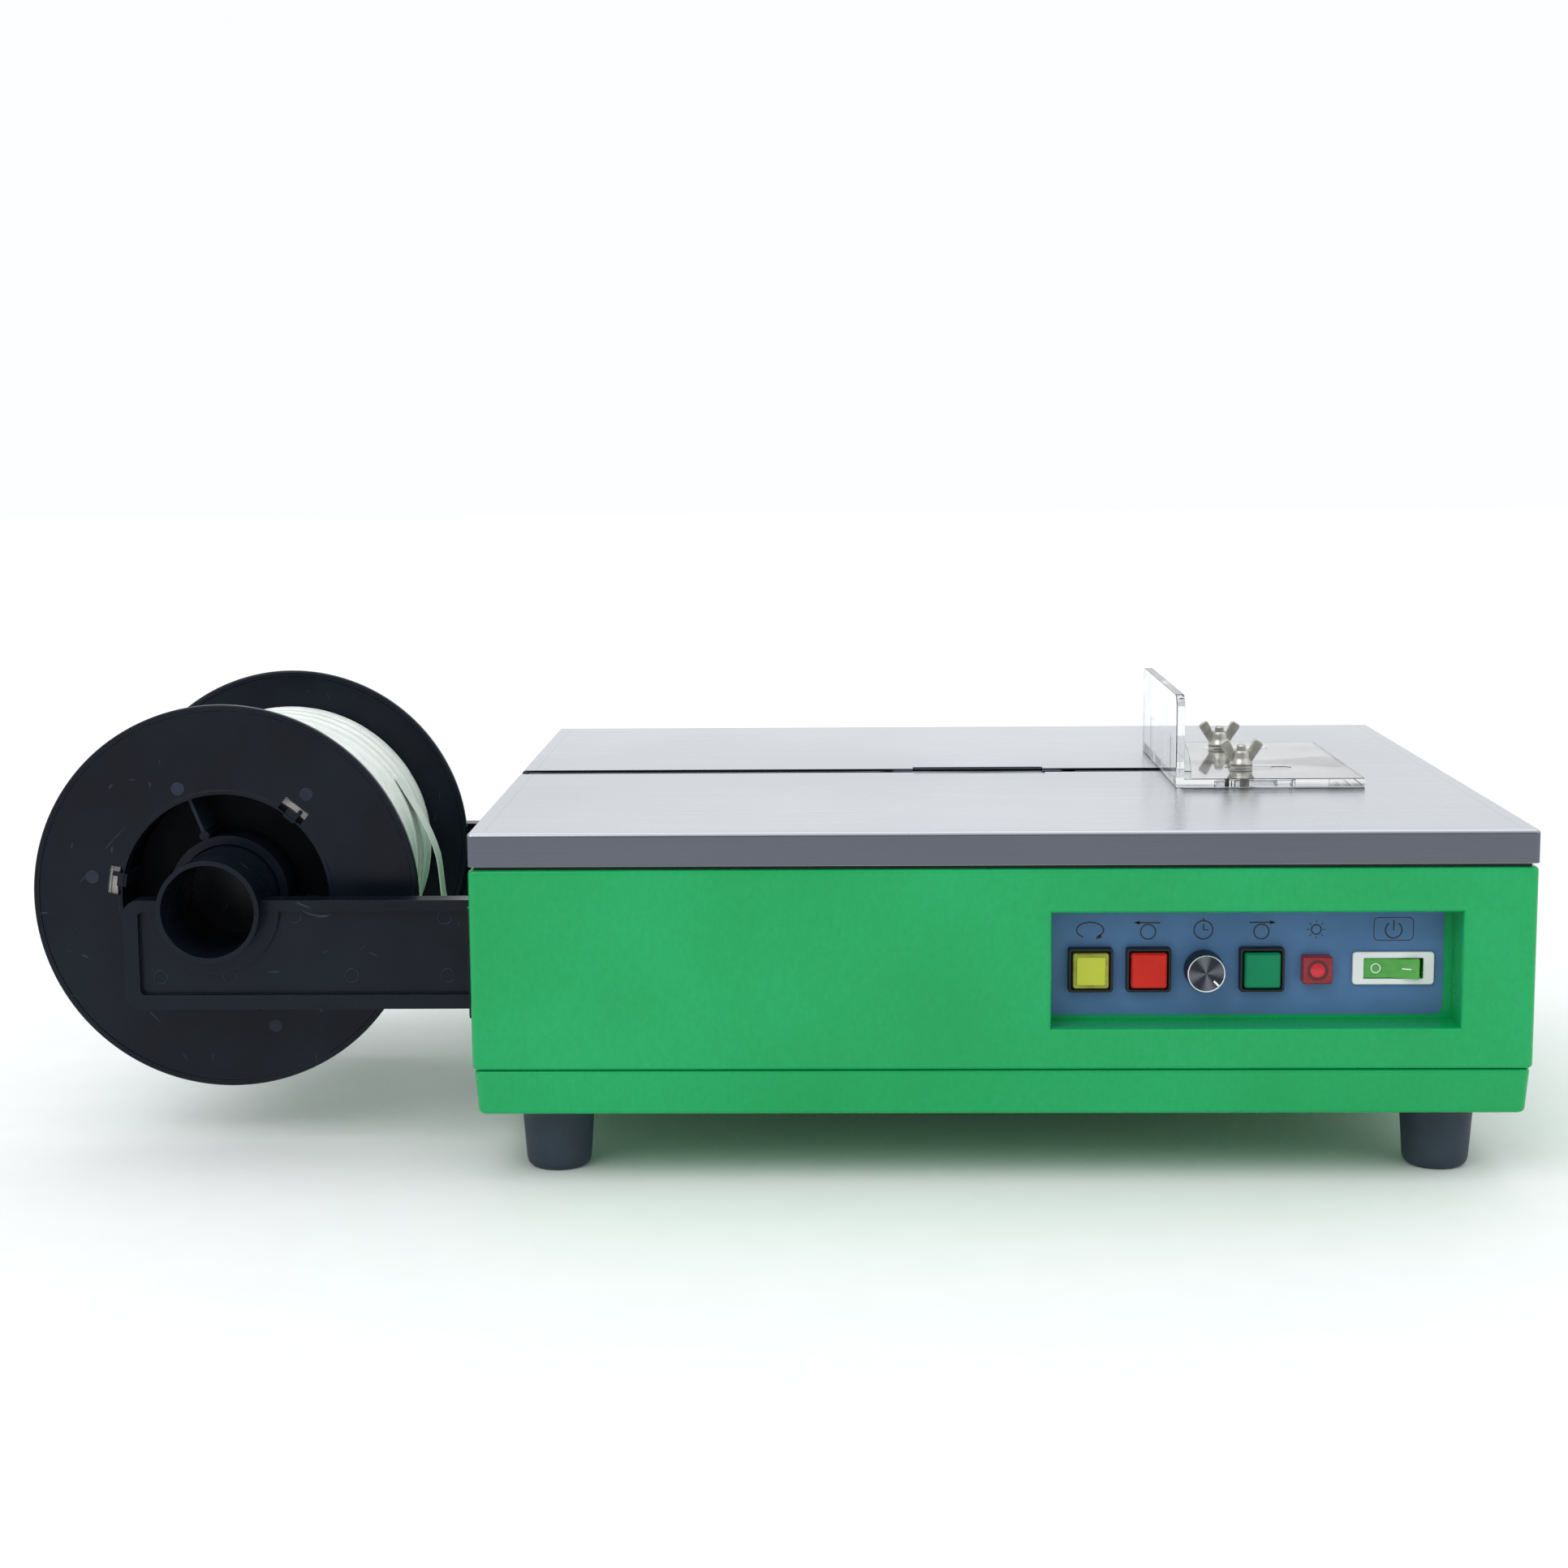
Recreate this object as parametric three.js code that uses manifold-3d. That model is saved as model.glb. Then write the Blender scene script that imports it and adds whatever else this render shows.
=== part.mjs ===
// Semi-automatic bench strapping machine. Millimetres, +Z up, the operator stands at -Y.
// Everything is placed about the middle of the cabinet's footprint on the bench; the last
// lines move the whole machine so that its origin is the middle of its own base outline.

import * as THREE from 'three';
import { mergeVertices } from 'three/addons/utils/BufferGeometryUtils.js';
import Module from 'manifold-3d';

const wasm = await Module();
wasm.setup();

// ---------------------------------------------------------------- driving dimensions
const GAP = 0.3; // air left between neighbouring pieces
const SHEET = 2; // painted sheet steel

const TABLE = { width: 565, depth: 460, top: 191.6, lip: 18.2, sheet: 2, wall: 1.5, fold: 10 };
const CABINET = { width: 564.8, depth: 460, bottom: 62.9, top: 171.5, corner: 4, fold: 12 };
const TRAY = {
  topWidth: 563, bottomWidth: 559.6, topDepth: 458.6, bottomDepth: 455.2, bottom: 38.1, top: 62.6,
};
const FOOT = {
  x: 240.8, y: 188.4, topRadius: 20.3, bottomRadius: 17.8, edge: 4.5, studRadius: 3, studTop: 46,
};

const SLOT = { y: 6, width: 18, flareX: 178, flareWidth: 54, flareEndX: 217, tipX: 227, lipNotchBottom: 180 };
const ANVIL_HOLE = { width: 80, depth: 32 };

const WINDOW = { left: 27, right: 243.2, bottom: 85, top: 147.4, depth: 24, wall: 1.5 };
const PANEL_ROW_Z = 112.8; // height of the row of controls
const PANEL_FACE_Y = -CABINET.depth / 2 + WINDOW.depth + 0.1;
const BUTTON_X = { reset: 49.3, back: 80.4, feed: 141 };
const KNOB_X = 110;
const LAMP_X = 170.3;
const SWITCH_X = 211.6;
const BUTTON = {
  bezel: 24, opening: 19.8, cap: 19.2, capThickness: 3.5, proud: 6, travel: 3, barrelRadius: 8,
};
const SWITCH = { width: 43.6, height: 17.9, openingWidth: 31.9, openingHeight: 11.4, tilt: 10 };
const KNOB_POINTER_DEG = 135; // clockwise from twelve o'clock

const REEL = { x: -433.2, y: -39.4, z: 140.7, radius: 109.6, halfWidth: 99.3, flange: 3 };
const HUB = {
  bore: 59, tube: 62.3, web: 60, webThickness: 3, boss: 34, bossBore: 29.2, bossTop: 92,
  ribs: 3, firstRib: 51,
};
const CORE = { inner: 62.7, outer: 66.3 };
const COIL_RADIUS = 88.1;
const STRAP = { width: 15.5, thickness: 0.8 };

const ARM = { frontFace: -158, rearFace: 97, thickness: 13, left: -483, bottom: 83.5, top: 145, corner: 8 };
const ARM_RIM = { width: 8, recess: 4 };
const ARM_STUB = { radius: 28.3, wall: 2.3, proud: 11, bossRadius: 33, padRadius: 37, endFromReelMid: 65.6 };
const ARM_FOOT = { thickness: 5, reach: 25, upperScrewZ: 131, lowerScrewZ: 97 };
const SCREW = { radius: 2.5, headRadius: 4.8, headHeight: 3.2, length: 14 };

const STOP = {
  left: 111, length: 110, y: 11, depth: 170, thickness: 5, height: 54, slotLeft: 35.5, slotRight: 75,
};
const STUD = { x: 156, frontY: -26, rearY: 66, radius: 3, top: 211 };

const INLET = { strapZ: 74, rollerX: -297, rollerRadius: 9.5, width: 22 };
const CAM_AXIS_Z = 98;
const MOTOR = { y: 146, z: 98, radius: 40, left: 84, right: 190 };
const PULLEY = { left: 59, width: 14, camGroove: 33, motorGroove: 13, flange: 1.5, lip: 3 };
const CAM = { radius: 14, offset: 6, width: 14, bore: 8.3 };
const PRESS_X = { left: -24, middle: 0, right: 24 };
const PRESS = { rest: 172, headHeight: 7.5, rodWidth: 14 };
const HEATER = { x: 44, y: -24, bottom: 181, thickness: 3.5, reach: 54 };
const FEED = { x: -145, feedRadius: 18, pinchRadius: 13, axleRadius: 4, width: 34 };

// ---------------------------------------------------------------- materials
function material(color, roughness, metalness, opacity = 1) {
  return new THREE.MeshStandardMaterial({ color, roughness, metalness, opacity, transparent: opacity < 1 });
}

const GREEN_PAINT = material(0x33ae6e, 0.3, 0.1);
const STAINLESS = material(0xb9bcc0, 0.35, 1);
const BLACK_PLASTIC = material(0x15171c, 0.35, 0);
const RUBBER = material(0x2d3a46, 0.8, 0);
const BLUE_PANEL = material(0x46668f, 0.45, 0);
const BEZEL_BLACK = material(0x0f1013, 0.4, 0);
const YELLOW_CAP = material(0xd6d23c, 0.3, 0);
const RED_CAP = material(0xff4a26, 0.3, 0);
const GREEN_CAP = material(0x0b8a5a, 0.3, 0);
const RED_LENS = material(0x9c1430, 0.2, 0, 0.8);
const ROCKER_GREEN = material(0x3fe03f, 0.15, 0, 0.8);
const WHITE_PLASTIC = material(0xf2f3f1, 0.4, 0);
const KNOB_METAL = material(0x24262a, 0.3, 0.8);
const ZINC = material(0xb4b4ae, 0.35, 1);
const ACRYLIC = material(0xe6ecf0, 0.05, 0, 0.35);
const STRAP_WHITE = material(0xe9efec, 0.4, 0);
const CARD = material(0xc9c4b8, 0.9, 0);
const STEEL = material(0x8c9096, 0.4, 1);
const CAST_IRON = material(0x4b4f55, 0.6, 0.8);
const BELT_RUBBER = material(0x1c1c1c, 0.8, 0);
const BOARD_GREEN = material(0x1d6b3a, 0.5, 0);
const COPPER = material(0x9a6a3a, 0.5, 0.7);

// ---------------------------------------------------------------- shape helpers
// A closed three.js geometry as a solid that can be joined and cut.
function solid(geometry) {
  const bare = geometry.clone();
  bare.deleteAttribute('normal');
  bare.deleteAttribute('uv');
  const merged = mergeVertices(bare, 1e-4);
  return new wasm.Manifold(new wasm.Mesh({
    numProp: 3,
    vertProperties: new Float32Array(merged.attributes.position.array),
    triVerts: new Uint32Array(merged.index.array),
  }));
}

function box(x0, x1, y0, y1, z0, z1) {
  const shape = new THREE.BoxGeometry(x1 - x0, y1 - y0, z1 - z0);
  return solid(shape.translate((x0 + x1) / 2, (y0 + y1) / 2, (z0 + z1) / 2));
}

// A cylinder along an axis, between two positions on it, about a point in the other two.
function cylinder(axis, radius, from, to, u = 0, v = 0, segments = 18) {
  const shape = new THREE.CylinderGeometry(radius, radius, Math.abs(to - from), segments);
  const middle = (from + to) / 2;
  if (axis === 'x') shape.rotateZ(-Math.PI / 2).translate(middle, u, v);
  if (axis === 'y') shape.translate(u, middle, v);
  if (axis === 'z') shape.rotateX(Math.PI / 2).translate(u, v, middle);
  return solid(shape);
}

// An outline drawn in X and Y, standing from z0 to z1.
function standing(shape, z0, z1, curveSegments = 3) {
  const body = new THREE.ExtrudeGeometry(shape, { depth: z1 - z0, bevelEnabled: false, curveSegments });
  return solid(body.translate(0, 0, z0));
}

// An outline drawn in X and Z, reaching from y0 to y1.
function reaching(shape, y0, y1, curveSegments = 3) {
  const body = new THREE.ExtrudeGeometry(shape, { depth: y1 - y0, bevelEnabled: false, curveSegments });
  return solid(body.rotateX(Math.PI / 2).translate(0, y1, 0));
}

function roundedRectangle(x0, x1, y0, y1, r) {
  const shape = new THREE.Shape();
  shape.moveTo(x0 + r, y0);
  shape.lineTo(x1 - r, y0);
  shape.absarc(x1 - r, y0 + r, r, -Math.PI / 2, 0);
  shape.lineTo(x1, y1 - r);
  shape.absarc(x1 - r, y1 - r, r, 0, Math.PI / 2);
  shape.lineTo(x0 + r, y1);
  shape.absarc(x0 + r, y1 - r, r, Math.PI / 2, Math.PI);
  shape.lineTo(x0, y0 + r);
  shape.absarc(x0 + r, y0 + r, r, Math.PI, 1.5 * Math.PI);
  return shape;
}

function polygon(points) {
  return new THREE.Shape(points.map(([u, v]) => new THREE.Vector2(u, v)));
}

// A profile of [radius, height] points turned about Y (as drawn), or stood up about Z.
function turned(points, segments, axis = 'y') {
  const shape = new THREE.LatheGeometry(points.map(([r, h]) => new THREE.Vector2(r, h)), segments);
  if (axis === 'z') shape.rotateX(Math.PI / 2);
  if (axis === 'x') shape.rotateZ(-Math.PI / 2);
  return solid(facingOut(shape));
}

// Turned profiles may come out inside out, which a negative volume shows.
function facingOut(geometry) {
  const p = geometry.attributes.position;
  const index = geometry.index;
  const corner = [new THREE.Vector3(), new THREE.Vector3(), new THREE.Vector3()];
  let volume = 0;
  for (let i = 0; i < index.count; i += 3) {
    corner.forEach((c, k) => c.fromBufferAttribute(p, index.getX(i + k)));
    volume += corner[0].dot(corner[1].clone().cross(corner[2]));
  }
  if (volume < 0) {
    for (let i = 0; i < index.count; i += 3) {
      const swap = index.getX(i);
      index.setX(i, index.getX(i + 1));
      index.setX(i + 1, swap);
    }
  }
  return geometry;
}

// The finished solid as a named mesh in its group.
function addPiece(group, name, body, look) {
  const { vertProperties, triVerts } = body.getMesh();
  const indexed = new THREE.BufferGeometry();
  indexed.setAttribute('position', new THREE.BufferAttribute(new Float32Array(vertProperties), 3));
  indexed.setIndex(new THREE.BufferAttribute(new Uint32Array(triVerts), 1));
  const mesh = new THREE.Mesh(indexed, look);
  mesh.name = name;
  group.add(mesh);
  return mesh;
}

function groupAt(parent, x, y, z) {
  const group = new THREE.Group();
  group.position.set(x, y, z);
  parent.add(group);
  return group;
}

// ---------------------------------------------------------------- cabinet
// A folded pan whose sides lean in a little towards the bottom.
function baseTray() {
  const height = TRAY.top - TRAY.bottom;
  const outer = new THREE.BoxGeometry(TRAY.topWidth, TRAY.topDepth, height);
  const corners = outer.attributes.position;
  for (let i = 0; i < corners.count; i++) {
    if (corners.getZ(i) > 0) continue;
    corners.setX(i, Math.sign(corners.getX(i)) * TRAY.bottomWidth / 2);
    corners.setY(i, Math.sign(corners.getY(i)) * TRAY.bottomDepth / 2);
  }
  outer.translate(0, 0, TRAY.bottom + height / 2);
  const halfX = TRAY.bottomWidth / 2 - SHEET;
  const halfY = TRAY.bottomDepth / 2 - SHEET;
  const mouthX = halfX - CABINET.fold;
  const mouthY = halfY - CABINET.fold;
  let tray = solid(outer)
    .subtract(box(-halfX, halfX, -halfY, halfY, TRAY.bottom + SHEET, TRAY.top - SHEET))
    .subtract(box(-mouthX, mouthX, -mouthY, mouthY, TRAY.bottom + SHEET, TRAY.top + 1));
  for (const sx of [-1, 1]) {
    for (const sy of [-1, 1]) {
      const radius = FOOT.studRadius + 0.4;
      const hole = cylinder('z', radius, TRAY.bottom - 1, TRAY.bottom + 4, sx * FOOT.x, sy * FOOT.y, 12);
      tray = tray.subtract(hole);
    }
  }
  return tray;
}

// A tapered rubber foot with a rounded lower edge and a moulded-in stud.
function foot() {
  const { topRadius, bottomRadius, edge, studRadius, studTop } = FOOT;
  const topZ = TRAY.bottom - GAP;
  const profile = [[0, 0], [bottomRadius - edge, 0]];
  for (const deg of [30, 60, 90]) {
    const a = THREE.MathUtils.degToRad(deg);
    profile.push([bottomRadius - edge + edge * Math.sin(a), edge - edge * Math.cos(a)]);
  }
  profile.push([topRadius, topZ], [studRadius, topZ], [studRadius, studTop], [0, studTop]);
  return turned(profile, 20, 'z');
}

// Front and both sides folded from one sheet, with the sunk window for the controls.
function cabinetShell() {
  const { width, depth, bottom, top, corner, fold } = CABINET;
  const halfX = width / 2;
  const halfY = depth / 2;
  const outline = roundedRectangle(-halfX, halfX, -halfY, halfY, corner);
  const rearEnd = halfY - SHEET - GAP;
  let shell = standing(outline, bottom, top)
    .subtract(box(-halfX + SHEET, halfX - SHEET, -halfY + SHEET, halfY + 1, bottom + SHEET, top - SHEET))
    .subtract(box(-halfX + fold, halfX - fold, -halfY + fold, halfY + 1, bottom - 1, top + 1))
    .subtract(box(-halfX - 1, halfX + 1, rearEnd, halfY + 1, bottom - 1, top + 1));
  const { left, right, wall } = WINDOW;
  const windowEnd = -halfY + WINDOW.depth - 0.2;
  shell = shell
    .add(box(left - wall, right + wall, -halfY + 0.5, windowEnd, WINDOW.bottom - wall, WINDOW.top + wall))
    .subtract(box(left, right, -halfY - 1, windowEnd + 1, WINDOW.bottom, WINDOW.top));
  const near = SLOT.y - INLET.width / 2 + 2;
  const far = SLOT.y + INLET.width / 2 - 2;
  const side = -halfX - 1;
  shell = shell.subtract(box(side, side + 4, near, far, INLET.strapZ - 5, INLET.strapZ + 6));
  for (const [y, z] of armScrewPlaces()) {
    shell = shell.subtract(cylinder('x', SCREW.radius + 0.4, -halfX - 1, -halfX + SHEET + 1, y, z, 12));
  }
  return shell;
}

// The rear panel closes the folded sheet and carries the vents and the mains inlet.
const POWER_INLET = { x: -205, z: 112, width: 27, height: 19.5, flange: 6 };
const VENT = { width: 4, height: 46, pitch: 11, perGroup: 9 };

function rearCover() {
  const { width, depth, bottom, top, corner } = CABINET;
  const halfX = width / 2;
  const halfY = depth / 2;
  const slab = standing(roundedRectangle(-halfX, halfX, halfY - 20, halfY, corner), bottom, top);
  const flangeX = halfX - SHEET - GAP;
  let cover = slab
    .subtract(box(-halfX - 1, halfX + 1, halfY - 21, halfY - SHEET, bottom - 1, top + 1));
  for (const side of [-1, 1]) {
    const [near, far] = [side * (flangeX - 1.5), side * flangeX].sort((a, b) => a - b);
    cover = cover.add(box(near, far, halfY - 14, halfY - SHEET + 0.5, bottom + 3, top - 3));
  }
  for (const centre of [-40, 150]) {
    for (let i = 0; i < VENT.perGroup; i++) {
      const x = centre + (i - (VENT.perGroup - 1) / 2) * VENT.pitch;
      const low = (bottom + top - VENT.height) / 2;
      const high = low + VENT.height;
      cover = cover.subtract(box(x - VENT.width / 2, x + VENT.width / 2, halfY - 4, halfY + 1, low, high));
    }
  }
  const w = POWER_INLET.width / 2 + GAP;
  const h = POWER_INLET.height / 2 + GAP;
  const { x, z } = POWER_INLET;
  return cover.subtract(box(x - w, x + w, halfY - 4, halfY + 1, z - h, z + h));
}

// Three-pin appliance inlet, flush with the rear panel, held by a flange behind it.
function powerInlet() {
  const rear = CABINET.depth / 2;
  const { x, z, width, height, flange } = POWER_INLET;
  const w = width / 2;
  const h = height / 2;
  const inside = rear - SHEET - GAP;
  let inlet = box(x - w, x + w, rear - 28, rear - 0.2, z - h, z + h)
    .add(box(x - w - flange, x + w + flange, inside - 2.5, inside, z - h - 2, z + h + 2))
    .subtract(box(x - w + 2, x + w - 2, rear - 18, rear + 1, z - h + 2, z + h - 2));
  for (const [dx, dz] of [[-7, -1.5], [0, 2.5], [7, -1.5]]) {
    inlet = inlet.add(box(x + dx - 1, x + dx + 1, rear - 20, rear - 7, z + dz - 2, z + dz + 2));
  }
  return inlet;
}

// Stainless table: a sheet folded down into a lip and in under it, slotted for the strap.
function tableTop() {
  const { width, depth, top, lip, sheet, wall, fold } = TABLE;
  const halfX = width / 2;
  const halfY = depth / 2;
  const bottom = top - lip;
  const half = SLOT.width / 2;
  const flare = SLOT.flareWidth / 2;
  const slot = polygon([
    [-halfX - 1, SLOT.y - half], [SLOT.flareX, SLOT.y - half], [SLOT.flareEndX, SLOT.y - flare],
    [SLOT.tipX, SLOT.y], [SLOT.flareEndX, SLOT.y + flare], [SLOT.flareX, SLOT.y + half],
    [-halfX - 1, SLOT.y + half],
  ]);
  let table = standing(roundedRectangle(-halfX, halfX, -halfY, halfY, 3), bottom, top)
    .subtract(box(-halfX + wall, halfX - wall, -halfY + wall, halfY - wall, bottom + wall, top - sheet))
    .subtract(box(-halfX + fold, halfX - fold, -halfY + fold, halfY - fold, bottom - 1, top - sheet - 1))
    .subtract(standing(slot, top - sheet - 1, top + 1))
    .subtract(box(-halfX - 1, -halfX + 4, SLOT.y - half, SLOT.y + half, SLOT.lipNotchBottom, top + 1));
  const holeX = ANVIL_HOLE.width / 2;
  const holeY = ANVIL_HOLE.depth / 2;
  table = table.subtract(box(-holeX, holeX, SLOT.y - holeY, SLOT.y + holeY, top - sheet - 1, top + 1));
  for (const y of [STUD.frontY, STUD.rearY]) {
    table = table.subtract(cylinder('z', STUD.radius + 0.4, top - sheet - 1, top + 1, STUD.x, y, 14));
  }
  return table;
}

// ---------------------------------------------------------------- controls
// Local frame: y = 0 is the panel's face, -y towards the operator, z = 0 the row's height.
function controlPlate() {
  const { left, right, wall } = WINDOW;
  const low = WINDOW.bottom - wall - PANEL_ROW_Z;
  const high = WINDOW.top + wall - PANEL_ROW_Z;
  let plate = box(left - wall, right + wall, 0, 1.5, low, high);
  for (const x of Object.values(BUTTON_X)) {
    plate = plate.subtract(cylinder('y', BUTTON.barrelRadius + 0.4, -1, 3, x, 0, 24));
  }
  plate = plate.subtract(cylinder('y', 3.5, -1, 3, KNOB_X, 0, 14))
    .subtract(cylinder('y', 5.2, -1, 3, LAMP_X, 0, 14));
  return plate.subtract(box(SWITCH_X - 19.4, SWITCH_X + 19.4, -1, 3, -7.4, 7.4));
}

// A square collar in front of the plate on a round barrel behind it.
function buttonBezel() {
  const half = BUTTON.bezel / 2;
  const open = BUTTON.opening / 2;
  const floor = -1.5;
  return reaching(roundedRectangle(-half, half, -half, half, 2), -BUTTON.proud, -GAP)
    .subtract(box(-open, open, -BUTTON.proud - 1, floor, -open, open))
    .add(cylinder('y', BUTTON.barrelRadius, floor + 0.2, 18, 0, 0, 24))
    .subtract(box(-4.4, 4.4, -5, 19, -4.4, 4.4));
}

// A square cap with a raised middle, on a square stem.
function buttonCap() {
  const half = BUTTON.cap / 2;
  const back = -1.5 - GAP - BUTTON.travel;
  const front = back - BUTTON.capThickness;
  return reaching(roundedRectangle(-half, half, -half, half, 1.2), front + 0.8, back)
    .add(reaching(roundedRectangle(-half + 2.2, half - 2.2, -half + 2.2, half - 2.2, 0.8), front, front + 1))
    .add(box(-4, 4, back - 1, 12, -4, 4));
}

// A turned metal knob with a pointer groove in its face, on the shaft that it turns.
function timerKnob() {
  const profile = [
    [0, -15], [9.6, -15], [10.2, -14.4], [10.75, -2.6], [10.3, -1.6], [3, -1.6], [3, 9], [0, 9],
  ];
  const angle = THREE.MathUtils.degToRad(90 - KNOB_POINTER_DEG);
  const groove = new THREE.BoxGeometry(5, 1.2, 1).translate(7.4, -15, 0).rotateY(-angle);
  return turned(profile, 28).subtract(solid(groove));
}

function timerPotentiometer() {
  return cylinder('y', 8.5, 3, 12, 0, 0, 12)
    .add(box(-8, 8, 5, 11, -14, 0))
    .subtract(cylinder('y', 3.3, 2, 10, 0, 0, 14));
}

function powerLamp() {
  return reaching(roundedRectangle(-8, 8, -7.5, 7.5, 1), -8, -GAP)
    .add(cylinder('y', 4.8, -1, 22, 0, 0, 14));
}

function switchBezel() {
  const { width, height, openingWidth, openingHeight } = SWITCH;
  const w = openingWidth / 2;
  const h = openingHeight / 2;
  return reaching(roundedRectangle(-width / 2, width / 2, -height / 2, height / 2, 1.5), -2.2, -GAP)
    .add(box(-19, 19, -1, 15, -7, 7))
    .subtract(box(-w, w, -3, 16, -h, h));
}

// Two faces in a shallow V; the pivot is SWITCH_PIVOT_Y behind the panel's face.
const SWITCH_PIVOT_Y = 3.5;

function switchRocker() {
  const end = 14.6;
  const dip = end * Math.tan(THREE.MathUtils.degToRad(SWITCH.tilt));
  const middle = -1.6 - SWITCH_PIVOT_Y;
  const outline = polygon([
    [-end, middle - dip], [0, middle], [end, middle - dip], [end, -2.6], [4, 3], [-4, 3], [-end, -2.6],
  ]);
  const half = SWITCH.openingHeight / 2 - 0.35;
  return standing(outline, -half, half);
}

// ---------------------------------------------------------------- side stop on the table
// Local frame: the stop's lower left edge at the middle of its depth.
function sideStop() {
  const { length, depth, thickness, height, slotLeft, slotRight } = STOP;
  const half = depth / 2;
  const upright = roundedRectangle(-half, half, -20, height, 8);
  const settings = { depth: thickness, bevelEnabled: false, curveSegments: 8 };
  const wall = new THREE.ExtrudeGeometry(upright, settings);
  wall.rotateX(Math.PI / 2).rotateZ(Math.PI / 2);
  let stop = solid(wall)
    .subtract(box(-1, thickness + 1, -half - 1, half + 1, -21, 0))
    .add(box(0.5, length, -half, half, 0, thickness));
  for (const y of [-half + 32, half - 38]) {
    const gusset = new THREE.Shape();
    gusset.moveTo(thickness - 1, thickness - 1);
    gusset.lineTo(thickness + 8, thickness - 1);
    gusset.absellipse(thickness - 1, thickness - 1, 9, 22, 0, Math.PI / 2, false);
    gusset.lineTo(thickness - 1, thickness - 1);
    stop = stop.add(reaching(gusset, y - 2, y + 2, 8));
  }
  for (const y of [STUD.frontY - STOP.y, STUD.rearY - STOP.y]) {
    const r = STUD.radius + 0.6;
    const slot = roundedRectangle(slotLeft, slotRight, y - r, y + r, r - 0.01);
    stop = stop.subtract(standing(slot, -1, thickness + 1));
  }
  return stop;
}

function stopStud() {
  const under = TABLE.top - TABLE.sheet - GAP;
  return cylinder('z', STUD.radius, under - 4, STUD.top, 0, 0, 14)
    .add(cylinder('z', 5.8, under - 3, under, 0, 0, 6));
}

const STOP_TOP = TABLE.top + GAP + STOP.thickness;
const WASHER_TOP = STOP_TOP + GAP + 1.2;

function stopWasher() {
  return turned([[3.4, 0], [7, 0], [7, 1.2], [3.4, 1.2], [3.4, 0]], 16, 'z');
}

// A round hub with a pair of wings that stand up and out from it.
function wingNut() {
  const wing = polygon([[3.6, 1.5], [6, 1], [13.6, 12.2], [12.6, 15], [10.4, 16.2], [8.6, 15.6], [3.6, 7.6]]);
  let nut = turned([[0, 0], [7, 0], [6.8, 1.4], [5.4, 3.4], [5, 8.4], [4.2, 9], [0, 9]], 16, 'z')
    .add(reaching(wing, -1.5, 1.5));
  nut = nut.add(reaching(wing, -1.5, 1.5).rotate([0, 0, 180]));
  return nut.subtract(cylinder('z', STUD.radius + GAP, -1, 12, 0, 0, 14));
}

// ---------------------------------------------------------------- reel and its arms
const SIDE_X = -CABINET.width / 2; // outer face of the left side

// Screw places on the left side as [y, z]: outside and inside of each arm.
function armScrewPlaces() {
  const out = ARM_FOOT.reach / 2 + 0.5;
  return [
    [ARM.frontFace - out, ARM_FOOT.upperScrewZ],
    [ARM.frontFace + ARM.thickness + out, ARM_FOOT.lowerScrewZ],
    [ARM.rearFace + out, ARM_FOOT.upperScrewZ],
    [ARM.rearFace - ARM.thickness - out, ARM_FOOT.lowerScrewZ],
  ];
}

// side is -1 for the front arm and +1 for the rear one, its mirror image. The recessed
// face looks away from the reel, and the closed end of the hollow stub goes into its bore.
function reelArm(side) {
  const outer = side < 0 ? ARM.frontFace : ARM.rearFace;
  const at = (distance) => outer - side * distance; // distance inwards from the outer face
  const across = (a, b) => [Math.min(at(a), at(b)), Math.max(at(a), at(b))];
  const right = SIDE_X - GAP;
  const stubEnd = Math.abs(outer - (REEL.y + side * ARM_STUB.endFromReelMid));
  const rim = ARM_RIM.width;
  const slab = (x0, x1, z0, z1, r, a, b) => reaching(roundedRectangle(x0, x1, z0, z1, r), ...across(a, b));
  const round = (radius, a, b, n = 28) => cylinder('y', radius, ...across(a, b), REEL.x, REEL.z, n);
  let arm = slab(ARM.left, right + 10, ARM.bottom, ARM.top, ARM.corner, 0, ARM.thickness)
    .subtract(slab(ARM.left + rim, right - 6, ARM.bottom + rim, ARM.top - rim + 2, 3, -1, ARM_RIM.recess))
    .subtract(box(right, right + 11, ...across(-1, 30), ARM.bottom - 1, ARM.top + 1))
    .add(box(right - ARM_FOOT.thickness, right, ...across(-ARM_FOOT.reach, ARM.thickness + ARM_FOOT.reach),
      ARM.bottom, ARM.top))
    .add(round(ARM_STUB.padRadius, 0.8, ARM.thickness)
      .subtract(box(REEL.x - 50, REEL.x + 50, ...across(-1, 20), ARM.top, ARM.top + 80)))
    .add(round(ARM_STUB.bossRadius, -2, ARM.thickness + 1))
    .add(round(ARM_STUB.radius, -ARM_STUB.proud, stubEnd));
  arm = arm.subtract(round(ARM_STUB.radius - ARM_STUB.wall, -ARM_STUB.proud - 1, stubEnd - 2.5));
  for (const [y, z] of armScrewPlaces()) {
    arm = arm.subtract(cylinder('x', SCREW.radius + 0.4, right - 8, right + 1, y, z, 12));
  }
  return arm;
}

// Pan-head screw along +X, with its head's underside at the arm's foot.
function armScrew() {
  const { radius, headRadius, headHeight, length } = SCREW;
  const profile = [[0, -headHeight], [headRadius * 0.6, -headHeight], [headRadius * 0.92, -headHeight * 0.66],
    [headRadius, 0], [radius, 0], [radius, length], [0, length]];
  return turned(profile, 14, 'x').subtract(box(-headHeight - 1, -headHeight + 1.2, -2.6, 2.6, -0.5, 0.5))
    .subtract(box(-headHeight - 1, -headHeight + 1.2, -0.5, 0.5, -2.6, 2.6));
}

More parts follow.
